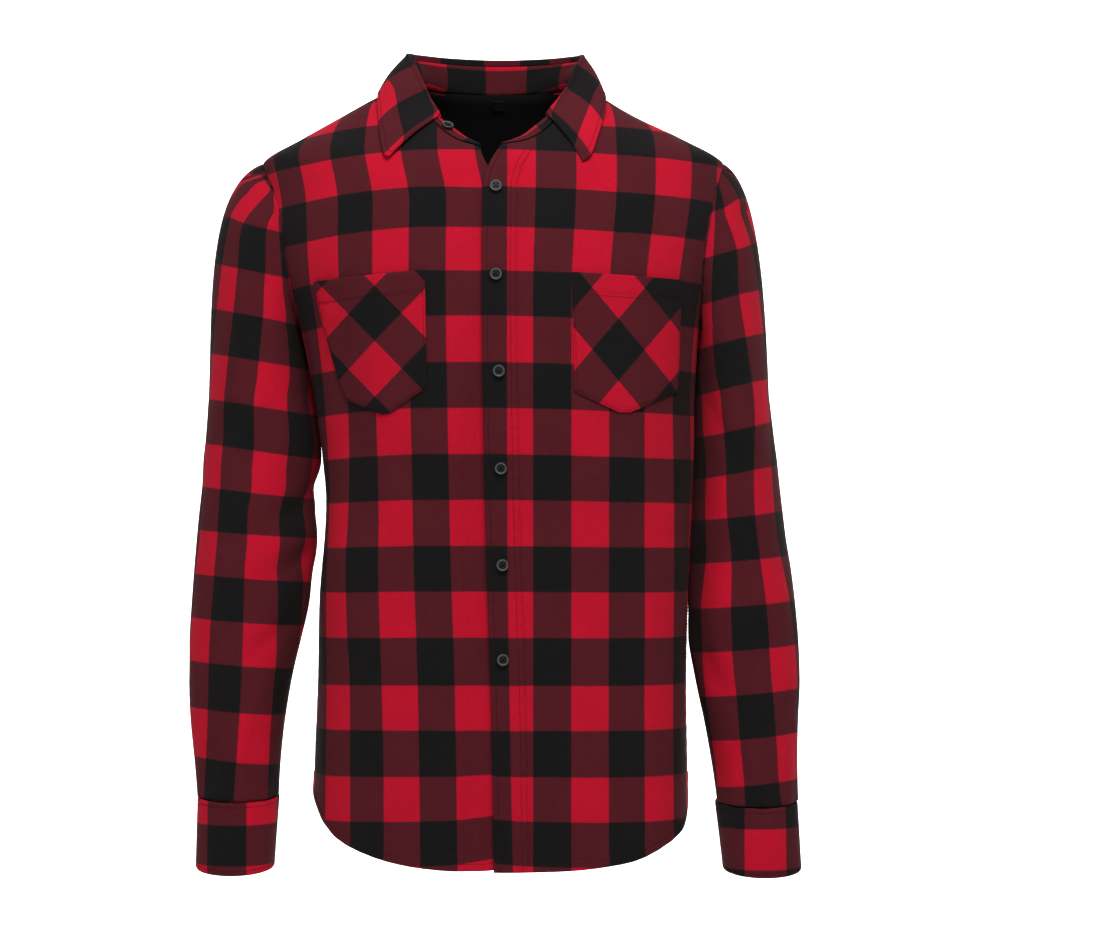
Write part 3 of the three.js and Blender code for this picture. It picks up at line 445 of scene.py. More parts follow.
def flannel(name):
    made, g = material(name)
    cells = g.add("ShaderNodeUVMap", uv_map="cells").outputs[0]
    check = g.add("ShaderNodeGroup", node_tree=CHECK)
    g.tree.links.new(cells, check.inputs["Cells"])
    for socket, paint in (("Red", RED), ("Mixed", MIXED), ("Black", BLACK)):
        check.inputs[socket].default_value = paint
    bump = g.add("ShaderNodeBump", {"Height": check.outputs["Height"], "Strength": 0.55, "Distance": 0.0004})
    shader = g.add("ShaderNodeBsdfPrincipled", {
        "Base Color": check.outputs["Color"], "Normal": bump.outputs[0], "Roughness": 0.95,
        "Specular IOR Level": 0.2, "Sheen Weight": 0.04, "Sheen Roughness": 0.5,
        "Sheen Tint": colour(215, 160, 165),
    })
    g.add("ShaderNodeOutputMaterial", {"Surface": shader.outputs[0]})
    return made


FLANNEL = flannel("check_flannel")


def body_cells(p, across):
    """Check count of the body: stripes across from a length of cloth, and rows from the height
    with its sag towards the arms and its rise at the front edge near the hem.
    """
    x, z = p[..., 0], p[..., 2]
    side = np.where(x < 0, look(SAG, "x", "right", abs(x)), look(SAG, "x", "left", abs(x)))
    sag = side * mix(0.25, 1, step(-520, -200, z))
    edge = abs(x - look(TOP_EDGE, "z", "x", z))
    rise = np.where(x < look(TOP_EDGE, "z", "x", z), 9.0, 5.0) * np.exp(-edge / 35) * step(-600, -735, z)
    return np.stack([across, np.interp(z + sag - rise, ROWS["z"], ROWS["row"])], -1)


def underlap(x, z):
    """How far the right front drops under the left: a half bell that dies away beside the
    placket.
    """
    away = np.maximum(0, look(TOP_EDGE, "z", "x", z) - x) / 18
    return UNDERLAP_DROP * np.exp(-(away**2))


def hem_roll(d):
    """Turned hem by distance from the edge: a raised 7 mm band and the groove its stitches pull."""
    return 0.8 * (1 - step(6.4, 8.8, d)) - 0.55 * bell(d - 6.6, 1.1)


def front(side):
    """Grid of one front: level rows from the hem to the underarm, then a patch to the armhole,
    shoulder and neckline.
    """
    neck, free = (NECK_LEFT, TOP_EDGE) if side > 0 else (NECK_RIGHT, UNDER_EDGE)
    hem = "left" if side > 0 else "right"
    seam = 0.0 if side > 0 else 180.0
    u = np.r_[np.linspace(0, 0.93, 72), np.linspace(0.93, 1, 14)[1:]][None, :]

    def edge_x(z):
        return look(free, "z", "x", z) + (1.2 if side > 0 else 0)

    def inset(z):
        return seam + side * gap_turn(seam, z)

    def level(z, u):
        return turn_by_length(z, turn_at(edge_x(z), z), inset(z), u), z

    v = np.r_[np.linspace(0, 0.026, 13), np.linspace(0.026, 1, 150)[1:-1]][:, None]
    low_z = mix(look(HEM, "share", hem, u), UNDERARM_Z, v)
    low = level(low_z, u)

    def top(u):
        split = 5 / 12
        s, t = np.clip(u / split, 0, 1), np.clip((u - split) / (1 - split), 0, 1)
        nx, nz = look(neck, "share", "x", s), look(neck, "share", "z", s)
        sz = mix(0, SHOULDER_Z, t)
        return np.where(u < split, turn_at(nx, nz), inset(sz)), np.where(u < split, nz, sz)

    def first(v):
        z = mix(UNDERARM_Z, neck["z"][0], v)
        return turn_at(edge_x(z) * (1 - v**8) + neck["x"][0] * v**8, z), z

    def last(v):
        z = look(ARMHOLE, "share", "z", v)
        return armhole_turn(side, v, "front") + side * gap_turn(seam, z), z

    w = np.linspace(0, 1, 66)[:, None]
    high = patch(lambda u: level(np.full_like(u, UNDERARM_Z), u), top, first, last, u, w)
    turn, z = (np.concatenate([np.broadcast_to(low[k], low_z.shape), high[k]]) for k in (0, 1))
    from_hem = np.concatenate([low_z - look(HEM, "share", hem, u), np.full_like(high[1], 400.0)])
    from_side = (1 - u) * arc(z[:, :1], turn[:, :1], turn[:, -1:])[0][..., None][:, 0]
    plain, _ = skin(turn, z)
    out = hem_roll(from_hem) + 0.45 * (1 - step(5.5, 7.5, from_side)) - 0.4 * bell(from_side, 1.2)
    x = plain[..., 0]
    out += 0.3 * np.sin(x / 1.9 + 0.02 * z) * np.exp(-from_hem / 9)
    out += 0.25 * np.sin(z / 2.3 + np.sin(z / 31)) * np.exp(-from_side / 9)
    if side < 0:
        out -= underlap(x, z)
    p, n = skin(turn, z, out)
    if side > 0:
        length = np.sign(90 - turn) * arc(z, np.full_like(z, 90.0), turn)[0]
        length = length - 4.8 * (1 - np.exp(-np.maximum(0, length - x) / 12))
        across = (length / (1 + 0.07 * step(-215, -95, z)) - 34.5) / 35.2
    else:
        start = turn_at(np.minimum(look(TOP_EDGE, "z", "x", z), np.where(z > -200, -11.7, 99)), z)
        length = np.sign(turn - start) * arc(z, start, turn)[0] - 10 * step(-128, -64, z)
        across = (length - 33) / 34.4
    return p, n, body_cells(plain, across), v


front_grids = {}
for side, name in ((-1, "front_right"), (1, "front_left")):
    p, n, cells, _ = front(side)
    front_grids[side] = (p, n)
    piece = cloth(f"{name}_cloth", p, cells, n, CLOTH)
    piece.data.materials.append(FLANNEL)
    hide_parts(name)


# ---------------------------------------------------------------------------
# Front placket. A straight band of the same cloth sewn along the edge of the wearer's left
# front, with the free edge folded and a row of stitches near each side.
# ---------------------------------------------------------------------------
PLACKET_WIDTH = 31.5
# Where the band's dark stripe ends, by height
PLACKET_STRIPE = table("z x", (-760, 16.5), (-640, 14), (-450, 11), (-70, 10.6))

u = np.r_[0, 0.03, 0.08, 0.13, 0.17, 0.2, 0.25, np.linspace(0.32, 0.7, 9)]
u = np.r_[u, 0.76, 0.81, 0.84, 0.87, 0.9, 0.94, 0.97, 1][None, :]
v = np.linspace(0, 1, 300)[:, None]
low = look(HEM, "share", "left", u * 0.12)
z = mix(low, mix(-72, -70, u), v)
x = look(TOP_EDGE, "z", "x", z) + PLACKET_WIDTH * u
d = PLACKET_WIDTH * u
out = 2.9 - 1.1 * np.exp(-(d / 1.3)) - 1.9 * step(27.5, 31.5, d)
out = out - 1.6 * step(-84, -72, z) * step(6, 20, d)
out = out - 0.55 * bell(d - 5.2, 1.1) - 0.6 * bell(d - 26.8, 1.1)
out = out + 0.28 * np.sin(z / 2.1 + 1.4 * np.sin(z / 27)) * (bell(d - 5, 4) + bell(d - 27, 4))
placket_p, placket_n = skin(turn_at(x, z), z, out)
across = 1 + (x - look(PLACKET_STRIPE, "z", "x", z)) / STRIPE
placket = cloth("placket_cloth", placket_p, body_cells(placket_p, across), placket_n, CLOTH)
placket.data.materials.append(FLANNEL)
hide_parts("placket")


# ---------------------------------------------------------------------------
# Back. One wide piece from side seam to side seam, cut on the straight grain with a long
# rounded tail, and sewn into the yoke seam across the shoulders.
# ---------------------------------------------------------------------------
YOKE_SEAM_Z = -110.0
YOKE_SHARE = 0.82


def from_right(z):
    """Turn of the wearer's right side seam on the back."""
    return 180 + gap_turn(180.0, z)


def to_left(z):
    """Turn of the wearer's left side seam on the back."""
    return 360 - gap_turn(0.0, z)


def back_side(sign, low, high, seam_z, ends):
    """Armhole edge of a back piece between two shares of the armhole; one end lies on the yoke
    seam.
    """

    def edge(v):
        share = mix(low, high, v)
        z = np.where(v == ends, seam_z, look(ARMHOLE, "share", "z", share))
        turn = armhole_turn(sign, share, "back")
        return (turn + 360 - gap_turn(0.0, z) if sign > 0 else turn + gap_turn(180.0, z)), z

    return edge


def level_edge(z, start, end):
    """Level edge of a back piece between two turns, shared out by length."""
    return lambda u: (turn_by_length(z, start, end, u), np.full_like(u, z))


seam_z = YOKE_SEAM_Z - 0.6 * SEAM
u = np.r_[np.linspace(0, 0.035, 14), np.linspace(0.035, 0.965, 130)[1:-1], np.linspace(0.965, 1, 14)][None, :]
v = np.r_[np.linspace(0, 0.026, 13), np.linspace(0.026, 1, 150)[1:-1]][:, None]
hem_z = look(HEM, "share", "back", abs(2 * u - 1))
low_z = mix(hem_z, UNDERARM_Z, v)
low = turn_by_length(low_z, from_right(low_z), to_left(low_z), u)
right, left = (back_side(s, 0, YOKE_SHARE, seam_z, 1) for s in (-1, 1))
one = np.ones(1)
high = patch(
    level_edge(UNDERARM_Z, from_right(UNDERARM_Z), to_left(UNDERARM_Z)),
    level_edge(seam_z, right(one)[0], left(one)[0]),
    right, left, u, np.linspace(0, 1, 44)[:, None],
)
turn, z = np.concatenate([low, high[0]]), np.concatenate([low_z, high[1]])
from_hem = np.concatenate([low_z - hem_z, np.full_like(high[1], 400.0)])
from_side = np.minimum(u, 1 - u) * 470
plain, _ = skin(turn, z)
out = hem_roll(from_hem) - 0.4 * bell(from_side, 1.2)
out += 0.3 * np.sin(plain[..., 0] / 1.9) * np.exp(-from_hem / 9)
out += 0.22 * np.sin(z / 2.4) * np.exp(-from_side / 8)
back_p, back_n = skin(turn, z, out)
length = np.sign(turn - 270) * arc(z, np.full_like(z, 270.0), turn)[0]
back = cloth("back_cloth", back_p, body_cells(plain, length / STRIPE + 0.45), back_n, CLOTH)
back.data.materials.append(FLANNEL)
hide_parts("back")


# ---------------------------------------------------------------------------
# Yoke. A double piece over the shoulders, checked outside and lined with a smooth black
# cloth, which the neckline, both shoulder seams and the back are sewn to.
# ---------------------------------------------------------------------------
seam_z = YOKE_SEAM_Z + 0.6 * SEAM
RIDGE = 7 / 24
BACK_NECK_DROP = 7.0


def yoke_top(u):
    """Shoulder seam, back neckline, shoulder seam."""
    a, b = np.clip(u / RIDGE, 0, 1), np.clip((u - 1 + RIDGE) / RIDGE, 0, 1)
    za, zb = mix(SHOULDER_Z, 0, a), mix(0, SHOULDER_Z, b)
    share = np.clip((u - RIDGE) / (1 - 2 * RIDGE), 0, 1)
    turn = turn_by_length(0.0, from_right(0.0), to_left(0.0), share)
    neck_z = -BACK_NECK_DROP * np.sin(np.radians(turn)) ** 2
    parts = [u < RIDGE, u > 1 - RIDGE]
    return np.select(parts, [from_right(za), to_left(zb)], turn), np.select(parts, [za, zb], neck_z)


u = np.linspace(0, 1, 145)[None, :]
v = np.linspace(0, 1, 40)[:, None]
right, left = (back_side(s, YOKE_SHARE, 1, seam_z, 0) for s in (-1, 1))
zero = np.zeros(1)
turn, z = patch(
    level_edge(seam_z, right(zero)[0], left(zero)[0]), yoke_top, right, left, u, v,
)
yoke_p, yoke_n = skin(turn, z, -0.4 * bell(v * 100, 1.6) + 0.5 * (1 - step(0.05, 0.08, v)))
run = np.linalg.norm(np.diff(yoke_p, axis=0), axis=-1)
rise = np.concatenate([np.zeros((1, 145)), np.cumsum(run, axis=0)])
cells = np.stack([yoke_p[..., 0] * 1.03 / STRIPE + 0.2, rise / ROW + 2.3], -1)
yoke = cloth("yoke_cloth", yoke_p, cells, yoke_n, CLOTH)
yoke.data.materials.append(FLANNEL)
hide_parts("yoke")


def satin(name, paint, rough):
    """Smooth lining cloth: fine crossed threads in value and bump, with faint cloudy wear."""
    made, g = material(name)
    place = g.add("ShaderNodeTexCoord").outputs["Object"]
    wave = {"Vector": place, "Scale": 500.0, "Distortion": 1.5}
    threads = g.add("ShaderNodeTexWave", wave, bands_direction="X").outputs[1]
    cloud = g.noise(place, 60.0, Detail=3.0)[0]
    value = g.sum("MULTIPLY_ADD", threads, 0.3, g.sum("MULTIPLY_ADD", cloud, 0.5, 0.6))
    tone = g.scale(paint[:3], value)
    bump = g.add("ShaderNodeBump", {"Height": threads, "Strength": 0.3, "Distance": 0.0002})
    shader = g.add("ShaderNodeBsdfPrincipled", {
        "Base Color": tone, "Normal": bump.outputs[0], "Roughness": rough, "Specular IOR Level": 0.12,
    })
    g.add("ShaderNodeOutputMaterial", {"Surface": shader.outputs[0]})
    return made


# The lining is black cloth, but its near-zero tone, darker than the shirt's black, is partly painted shade
# inside the neck; at the neck it is raised to cover the yoke edge
at_neck = step(RIDGE - 0.02, RIDGE + 0.02, u) * step(1.02 - RIDGE, 0.98 - RIDGE, u) * step(0.9, 1, v)
lining_p, lining_n = skin(turn, z, -CLOTH - 1)
to_neck = unit((np.array([0, 8, 0.0]) - lining_p) * [1, 1, 0])
lining_p = lining_p + at_neck[..., None] * (to_neck * 1.6 + [0, 0, 6.5])
lining = cloth("yoke_lining_cloth", lining_p[::2, ::2], cells[::2, ::2], lining_n[::2, ::2], 1.0)
lining.data.materials.append(satin("black_lining", colour(6, 6, 6), 0.85))
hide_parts("yoke_lining")


# ---------------------------------------------------------------------------
# Collar. A leaf of two layers with a stiff inner layer, rolled over the top of a stand of
# the same make. The stand is sewn to the neckline and its rounded ends meet at the front.
# ---------------------------------------------------------------------------
BAND = 1.6
ROLL = 2.5
LEAF_BULGE = 5.0
NECK_CENTRE = np.array([0, 8, 0.0])
# Stations from the wearer's right front corner over the back to the left one: the rolled
# top edge, the free edge, and how deep the leaf reaches inside the neck
COLLAR = table(
    "fx fy fz ex ey ez lip",
    (-53, -68, -38.5, -98.5, -99, -81, 3.2),
    (-55, -64, -34, -103, -97, -79.5, 3.4),
    (-64, -45, -19, -108, -80, -60, 4),
    (-75, -22, 6, -111, -58, -40, 5),
    (-82, -4, 20, -113.5, -32, -20, 6),
    (-86, 12, 27, -113.5, 8, -12.5, 6.5),
    (-77, 46, 30, -98, 60, -10, 6.5),
    (-46, 78, 30.5, -60, 93, -11, 6.5),
    (0, 90, 30, 0, 104, -12, 6.5),
    (46, 78, 30, 58, 93, -11, 6.5),
    (75, 46, 29, 93, 60, -11, 6.5),
    (81, 10, 25.5, 101, 6, -13, 6.5),
    (76, -8, 14.5, 103.5, -35, -21, 6),
    (69, -26, -3, 100, -62, -43, 5),
    (59, -47, -20.5, 94, -85, -63, 4),
    (49, -64, -34, 87.5, -99, -80, 3.4),
    (47, -68, -37.5, 80, -100, -86, 3.2),
)
# Open ends of the stand, from the leaf to the tip: top edge and the share of height left
STAND_END_RIGHT = table("x y z height", (-41, -70.5, -51, 1), (-31, -73.5, -58.5, 0.94), (-24, -77, -63, 0.7))
STAND_END_LEFT = table("x y z height", (36, -70.5, -50, 1), (25, -73.5, -58.5, 0.94), (17, -77, -63, 0.7))


def smooth_line(points, t):
    """Curve through points: in each span a cubic whose end slopes come from the square roots of
    the neighbouring distances, so that it never loops.
    """
    n = len(points)
    p = np.concatenate([[2 * points[0] - points[1]], points, [2 * points[-1] - points[-2]]])
    d = np.linalg.norm(np.diff(p, axis=0), axis=1) ** 0.5
    i = np.clip((np.asarray(t) * (n - 1)).astype(int), 0, n - 2)
    s = (np.asarray(t) * (n - 1) - i)[..., None]
    a, b, c, e = (p[i + k] for k in range(4))
    d0, d1, d2 = (d[i + k][..., None] for k in range(3))
    m1 = ((b - a) / d0 - (c - a) / (d0 + d1) + (c - b) / d1) * d1
    m2 = ((c - b) / d1 - (e - b) / (d1 + d2) + (e - c) / d2) * d1
    return b + m1 * s + (-3 * b + 3 * c - 2 * m1 - m2) * s**2 + (2 * b - 2 * c + m1 + m2) * s**3


def leaf_station(t):
    """Fold point, edge point, outward direction and inside depth at a share of the way round."""
    fold = smooth_line(np.stack([COLLAR[k] for k in ("fx", "fy", "fz")], -1), t)
    edge = smooth_line(np.stack([COLLAR[k] for k in ("ex", "ey", "ez")], -1), t)
    out = (fold - NECK_CENTRE) * [1, 1, 0]
    lip = np.interp(t, np.linspace(0, 1, 17), COLLAR["lip"])
    return fold, edge, unit(out), lip


UP = np.array([0, 0, 1.0])
t = np.linspace(0, 1, 200)[:, None]
fold, edge, out, lip = leaf_station(t[:, 0])
fold, edge, out, lip = fold[:, None], edge[:, None], out[:, None], lip[:, None, None]
inside = np.linspace(0, 1, 4)[None, :-1, None]
lips = fold - ROLL * out - mix(lip, ROLL, inside) * UP
angle = np.linspace(np.pi, 0, 9)[None, :, None]
rolls = fold + ROLL * np.cos(angle) * out + (ROLL * np.sin(angle) - ROLL) * UP
start = fold + ROLL * out - ROLL * UP
s = np.r_[np.linspace(0, 0.8, 20)[1:], np.linspace(0.8, 1, 12)[1:]][None, :, None]
lift = LEAF_BULGE * 0.55 * np.sin(np.pi * s)
falls = mix(start, edge, s) + lift * out + 0.4 * lift * UP
leaf_p = np.concatenate([lips, rolls, falls], 1)
leaf_out = normals(leaf_p, np.concatenate([-out + 0 * lips, out + 0 * rolls, out + 0 * falls], 1))
fall = np.concatenate([np.zeros(12), s[0, :, 0]])[None, :]
width = np.linalg.norm(edge - start, axis=-1)
corner = np.minimum(t, 1 - t) * 470
d = np.minimum((1 - fall) * width, corner * 1.1)
leaf_p = leaf_p + leaf_out * (
    -0.5 * bell(d - 6.3, 1.0) * (fall > 0) - 0.7 * np.exp(-d / 0.7) * (fall > 0)
    + 0.2 * np.sin(t * 470 / 2.1) * bell(d - 6, 3) * (fall > 0.3)
)[..., None]
# The leaf is cut along the stripes: one set is counted down from the roll, the other along
# the leaf from corner to corner
run = np.linalg.norm(np.diff(leaf_p, axis=1), axis=-1)
down = np.concatenate([np.zeros((200, 1)), np.cumsum(run, 1)], 1)
down = down - down[:, 7:8]
run = np.linalg.norm(np.diff(leaf_p, axis=0), axis=-1)
along = np.concatenate([np.zeros((1, run.shape[1])), np.cumsum(run, 0)])
length = along[-1:]
first_line = np.interp(
    t, [0, 0.06, 0.12, 0.2, 0.5, 0.8, 0.88, 0.94, 1], [10, 6, 0.5, -6, -8, -6, 0.5, 6, 10],
)
count = np.interp(
    along * 430 / length,
    [0, 4.5, 38.5, 73, 215, 353, 387.4, 422, 430],
    [-0.13, 0, 1, 2, 5.28, 10, 11, 12, 12.23],
)
cells = np.stack([(down - first_line) / ROW, count], -1)
leaf = cloth("collar_leaf_cloth", leaf_p, cells, leaf_out, BAND)
leaf.data.materials.append(FLANNEL)
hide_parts("collar_leaf")

STAND_FROM = 0.15


def neck_seat(s):
    """Place on the neckline at a share of the way round, and its outward normal."""
    s = np.asarray(s, float)
    share = 4 * np.minimum(s, 1 - s)
    right, left = ([look(n, "share", k, share) for k in "xz"] for n in (NECK_RIGHT, NECK_LEFT))
    x, z = (np.where(s < 0.5, right[k], left[k]) for k in (0, 1))
    behind = turn_by_length(0.0, 180.0, 360.0, np.clip(2 * s - 0.5, 0, 1))
    drop = -BACK_NECK_DROP * np.sin(np.radians(behind)) ** 2
    front_part = (s <= 0.25) | (s >= 0.75)
    return skin(np.where(front_part, turn_at(x, z), behind), np.where(front_part, z, drop))


leaf_t = np.linspace(0, 1, 160)
end_k = np.linspace(0, 1, 13)[:-1]
s = np.r_[STAND_FROM * end_k, mix(STAND_FROM, 1 - STAND_FROM, leaf_t), 1 - STAND_FROM * end_k[::-1]]
seat, seat_n = neck_seat(s)
off = unit(np.cross(neck_seat(np.minimum(1, s + 0.02))[0] - neck_seat(np.maximum(0, s - 0.02))[0], seat_n))
off *= np.sign((off * (NECK_CENTRE - seat)).sum(-1, keepdims=True))
base = seat + 1.6 * off + UP
fold, edge, out, lip = leaf_station(leaf_t)
under_leaf = fold + (BAND - ROLL) * out - (lip[:, None] + SEAM + 0.2) * UP


def stand_end(ends, joined):
    """Top edge of one open end, drawn in to its rounded tip, from the tip to the leaf."""
    tops = np.stack([ends[k] for k in "xyz"], -1)[::-1]
    share = np.interp(end_k * 3, [0, 1, 2, 3], np.r_[ends["height"][::-1], 1])
    line = np.concatenate([tops, [joined]])
    return smooth_line(line, end_k), share


top_r, share_r = stand_end(STAND_END_RIGHT, under_leaf[0])
top_l, share_l = stand_end(STAND_END_LEFT, under_leaf[-1])
tops = np.concatenate([
    mix(base[:12], top_r, share_r[:, None]), under_leaf, mix(base[-12:], top_l[::-1], share_l[::-1, None]),
])
k = np.linspace(0, 1, 14)[None, :, None]
stand_p = mix(base[:, None], tops[:, None], k)
stand_n = normals(stand_p, stand_p - NECK_CENTRE * [1, 1, 0])
stand_p = stand_p - stand_n * (0.35 * bell(k - 0.12, 0.05))
middle = stand_p[:, 7]
round_neck = np.concatenate([[0], np.cumsum(np.linalg.norm(np.diff(middle, axis=0), axis=-1))])
bearing = np.unwrap(np.arctan2(middle[:, 0], middle[:, 1] - 8))
here = np.arctan2(stand_p[..., 0], stand_p[..., 1] - 8)
here = here + 2 * np.pi * np.round((bearing[:, None] - here) / (2 * np.pi))
length = np.interp(here, bearing, round_neck) - np.interp(0, bearing, round_neck)
high = np.linalg.norm(tops - base, axis=-1)[:, None] * k[..., 0]
cells = np.stack([1 + (length + 13) / ROW, 1 + (high - high[:, -1:] + 4) / ROW], -1)
stand = cloth("collar_stand_cloth", stand_p, cells, stand_n, BAND)
stand.data.materials.append(FLANNEL)
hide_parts("collar_stand")


# ---------------------------------------------------------------------------
# Neck label. A small plain woven tab caught in the seam under the middle of the stand.
# ---------------------------------------------------------------------------
u, v = np.linspace(-1, 1, 13)[None, :], np.linspace(0, 1, 12)[:, None]
z = -BACK_NECK_DROP - 1.5 - 10.0 * (1 - v)
turn = 270 + np.degrees(np.arctan2(u * 6.0, look(BODY, "z", "back", z)))
label_p, label_n = skin(turn, z, -CLOTH - 3.4)
label = cloth("neck_label_tab", label_p, np.stack([u + 0 * v, v + 0 * u], -1), label_n, 0.8)
label.data.materials.append(satin("label_weave", colour(17, 17, 18), 0.6))
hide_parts("neck_label")


# ---------------------------------------------------------------------------
# Sleeves. One long tapered piece each, closed by an underarm seam, its cap eased into the
# armhole. The cloth hangs in soft slanting creases from the elbow down to the cuff.
# ---------------------------------------------------------------------------
SLEEVE_RIGHT = table(
    "z outer inner y deep tilt",
    (-300, -275, -175.5, 4, 62, 0),
    (-342, -278, -168.8, 3, 58, 0),
    (-361, -280, -169, 2, 56, 0),
    (-385, -281, -173, 0, 55, 0),
    (-412, -284, -175, -2, 54, 0),
    (-437, -286, -171, -4, 53, 0),
    (-465, -288, -177, -7, 51, 0.02),
    (-495, -290, -180, -9, 50, 0.03),
    (-533, -292, -187, -12, 48, 0.05),
    (-571, -292, -195, -15, 46, 0.07),
    (-609, -290, -201, -18, 43, 0.08),
    (-647, -286, -205, -20, 40, 0.09),
    (-677, -283, -207, -22, 38, 0.1),
)
SLEEVE_LEFT = table(
    "z outer inner y deep tilt",
    (-300, 259, 190, 10, 74, 0),
    (-342, 264, 189.3, 10, 72, 0),
    (-361, 266.5, 188.8, 9, 70, 0),
    (-385, 269, 187.8, 8, 68, 0),
    (-412, 272, 186.4, 6, 66, 0),
    (-437, 275, 185, 4, 64, 0),
    (-465, 279.5, 183.6, 2, 61, 0.02),
    (-495, 283, 182.4, -2, 58, 0.03),
    (-533, 286, 182, -7, 53, 0.05),
    (-571, 287, 188, -11, 48, 0.07),
    (-609, 285, 196, -15, 44, 0.08),
    (-650, 284, 203, -19, 41, 0.09),
    (-682, 284, 207, -22, 38, 0.1),
)
# Creases: place round the arm in degrees (0 outer, 90 front, 180 body side, 270 back),
# turning by slope degrees for each millimetre of height. arm 1 is the wearer's left.
SLEEVE_FOLDS = table(
    "arm turn z slope long wide depth",
    (-1, 118, -250, 0.7, 70, 15, -5),
    (-1, 165, -395, 1.6, 26, 26, -4),
    (-1, 150, -452, 1.4, 24, 26, -4),
    (-1, 60, -640, 0.1, 60, 15, -2.5),
    (-1, 250, -420, -0.8, 80, 18, -5),
    (-1, 90, -350, 0.5, 60, 11, -1.5),
    (-1, 130, -520, 1.2, 30, 14, -1.8),
    (-1, 45, -470, -0.6, 50, 12, -1.3),
    (-1, 105, -610, 0.4, 50, 10, 1.3),
    (-1, 300, -560, 0.5, 60, 15, -2.5),
    (1, 92, -430, -0.06, 90, 14, -4),
    (1, 70, -235, 0.3, 60, 14, -3),
    (1, 130, -560, 0.5, 50, 18, -3),
    (1, 250, -420, 0.8, 80, 18, -5),
    (1, 60, -560, 0.4, 60, 11, -1.8),
    (1, 105, -620, 0.3, 50, 11, 1.5),
    (1, 120, -330, 0.7, 40, 12, -1.5),
    (1, 300, -600, -0.4, 60, 15, -2.5),
)
# Where the dark stripe down each sleeve starts and ends, by height
STRIPE_RIGHT = table(
    "z outer inner",
    (-110, -218, -196), (-140, -240, -214), (-181, -243, -217), (-223, -247, -218), (-265, -252, -222),
    (-307, -256, -226), (-348, -258, -227), (-390, -260, -230), (-430, -262, -233), (-511, -268, -236),
    (-596, -271, -240), (-682, -275, -245),
)
STRIPE_LEFT = table(
    "z outer inner",
    (-130, 214, 205), (-163, 225, 203), (-207, 227, 201), (-246, 233, 202), (-289, 239, 206),
    (-330, 241, 209), (-371, 240, 213), (-413, 241, 216), (-455, 246, 217), (-496, 252, 218),
    (-538, 256, 220), (-579, 259, 224), (-621, 262, 228), (-663, 265, 232), (-690, 269, 234),
)
SLEEVE_ROWS_RIGHT = table(
    "z row",
    (-62, 3), (-105.7, 2), (-138.5, 1), (-181.6, 0), (-222.8, -1), (-264.1, -2),
    (-306.2, -3), (-348.4, -4), (-388.7, -5), (-429, -6), (-470.2, -7), (-511.4, -8),
    (-551.7, -9), (-595.3, -10), (-641.3, -11), (-683, -12),
)
SLEEVE_ROWS_LEFT = table(
    "z row",
    (-86, 3), (-124.4, 2), (-163.8, 1), (-206.9, 0), (-246.3, -1), (-288.9, -2),
    (-329.6, -3), (-370.9, -4), (-413, -5), (-454.3, -6), (-496.4, -7), (-537.7, -8),
    (-578.9, -9), (-620.1, -10), (-663.2, -11), (-703.5, -12),
)


def sleeve_ring(t, side, turn, z):
    """Level ring of the sleeve: an ellipse whose front dips by the tilt, moved outwards by each
    crease's bell along and round the arm.
    """
    outer, inner, y, deep, tilt = (look(t, "z", k, z) for k in ("outer", "inner", "y", "deep", "tilt"))
    wide = abs(outer - inner) / 2
    c, s = np.cos(np.radians(turn)), np.sin(np.radians(turn))
    p = np.stack([(outer + inner) / 2 + side * wide * c, y - deep * s, z - tilt * deep * s], -1)
    move = np.zeros(p.shape[:-1])
    for arm, at, level, slope, long, wide_turn, depth in zip(*SLEEVE_FOLDS.values()):
        if arm == side:
            up = z - level
            away = (turn - at - slope * up + 180) % 360 - 180
            move += depth * np.exp(-((up / long) ** 2) - (away / wide_turn) ** 2)
    out = unit(np.stack([side * c * deep, -s * wide, 0 * c], -1))
    return p + out * move[..., None]


def ellipse_arc(turn, wide, deep):
    """Length round an ellipse from turn 0, by 32 steps of its speed."""
    k = (np.arange(32) + 0.5) / 32
    a = np.radians(turn)[..., None] * k
    speed = np.sqrt((wide[..., None] * np.sin(a)) ** 2 + (deep[..., None] * np.cos(a)) ** 2)
    return speed.mean(-1) * np.radians(turn)


def armhole_ring(side, turn, out=0.0, beyond=0.9):
    """Place on the armhole seam for a turn round the arm, up the front or the back edge, raised
    by out and moved beyond the edge towards the arm.
    """
    q = np.clip((turn - 180) / 180, 0, 1)
    back_share = np.where(q < 0.625, q / 0.625 * YOKE_SHARE, mix(YOKE_SHARE, 1, (q - 0.625) / 0.375))
    front_share = np.clip(1 - turn / 180, 0, 1)
    share = np.where(turn <= 180, front_share, back_share)
    faces = armhole_turn(side, front_share, "front"), armhole_turn(side, back_share, "back")
    at = np.where(turn <= 180, *faces)
    return skin(at, look(ARMHOLE, "share", "z", share), out)[0] + [side * beyond, 0, 0]


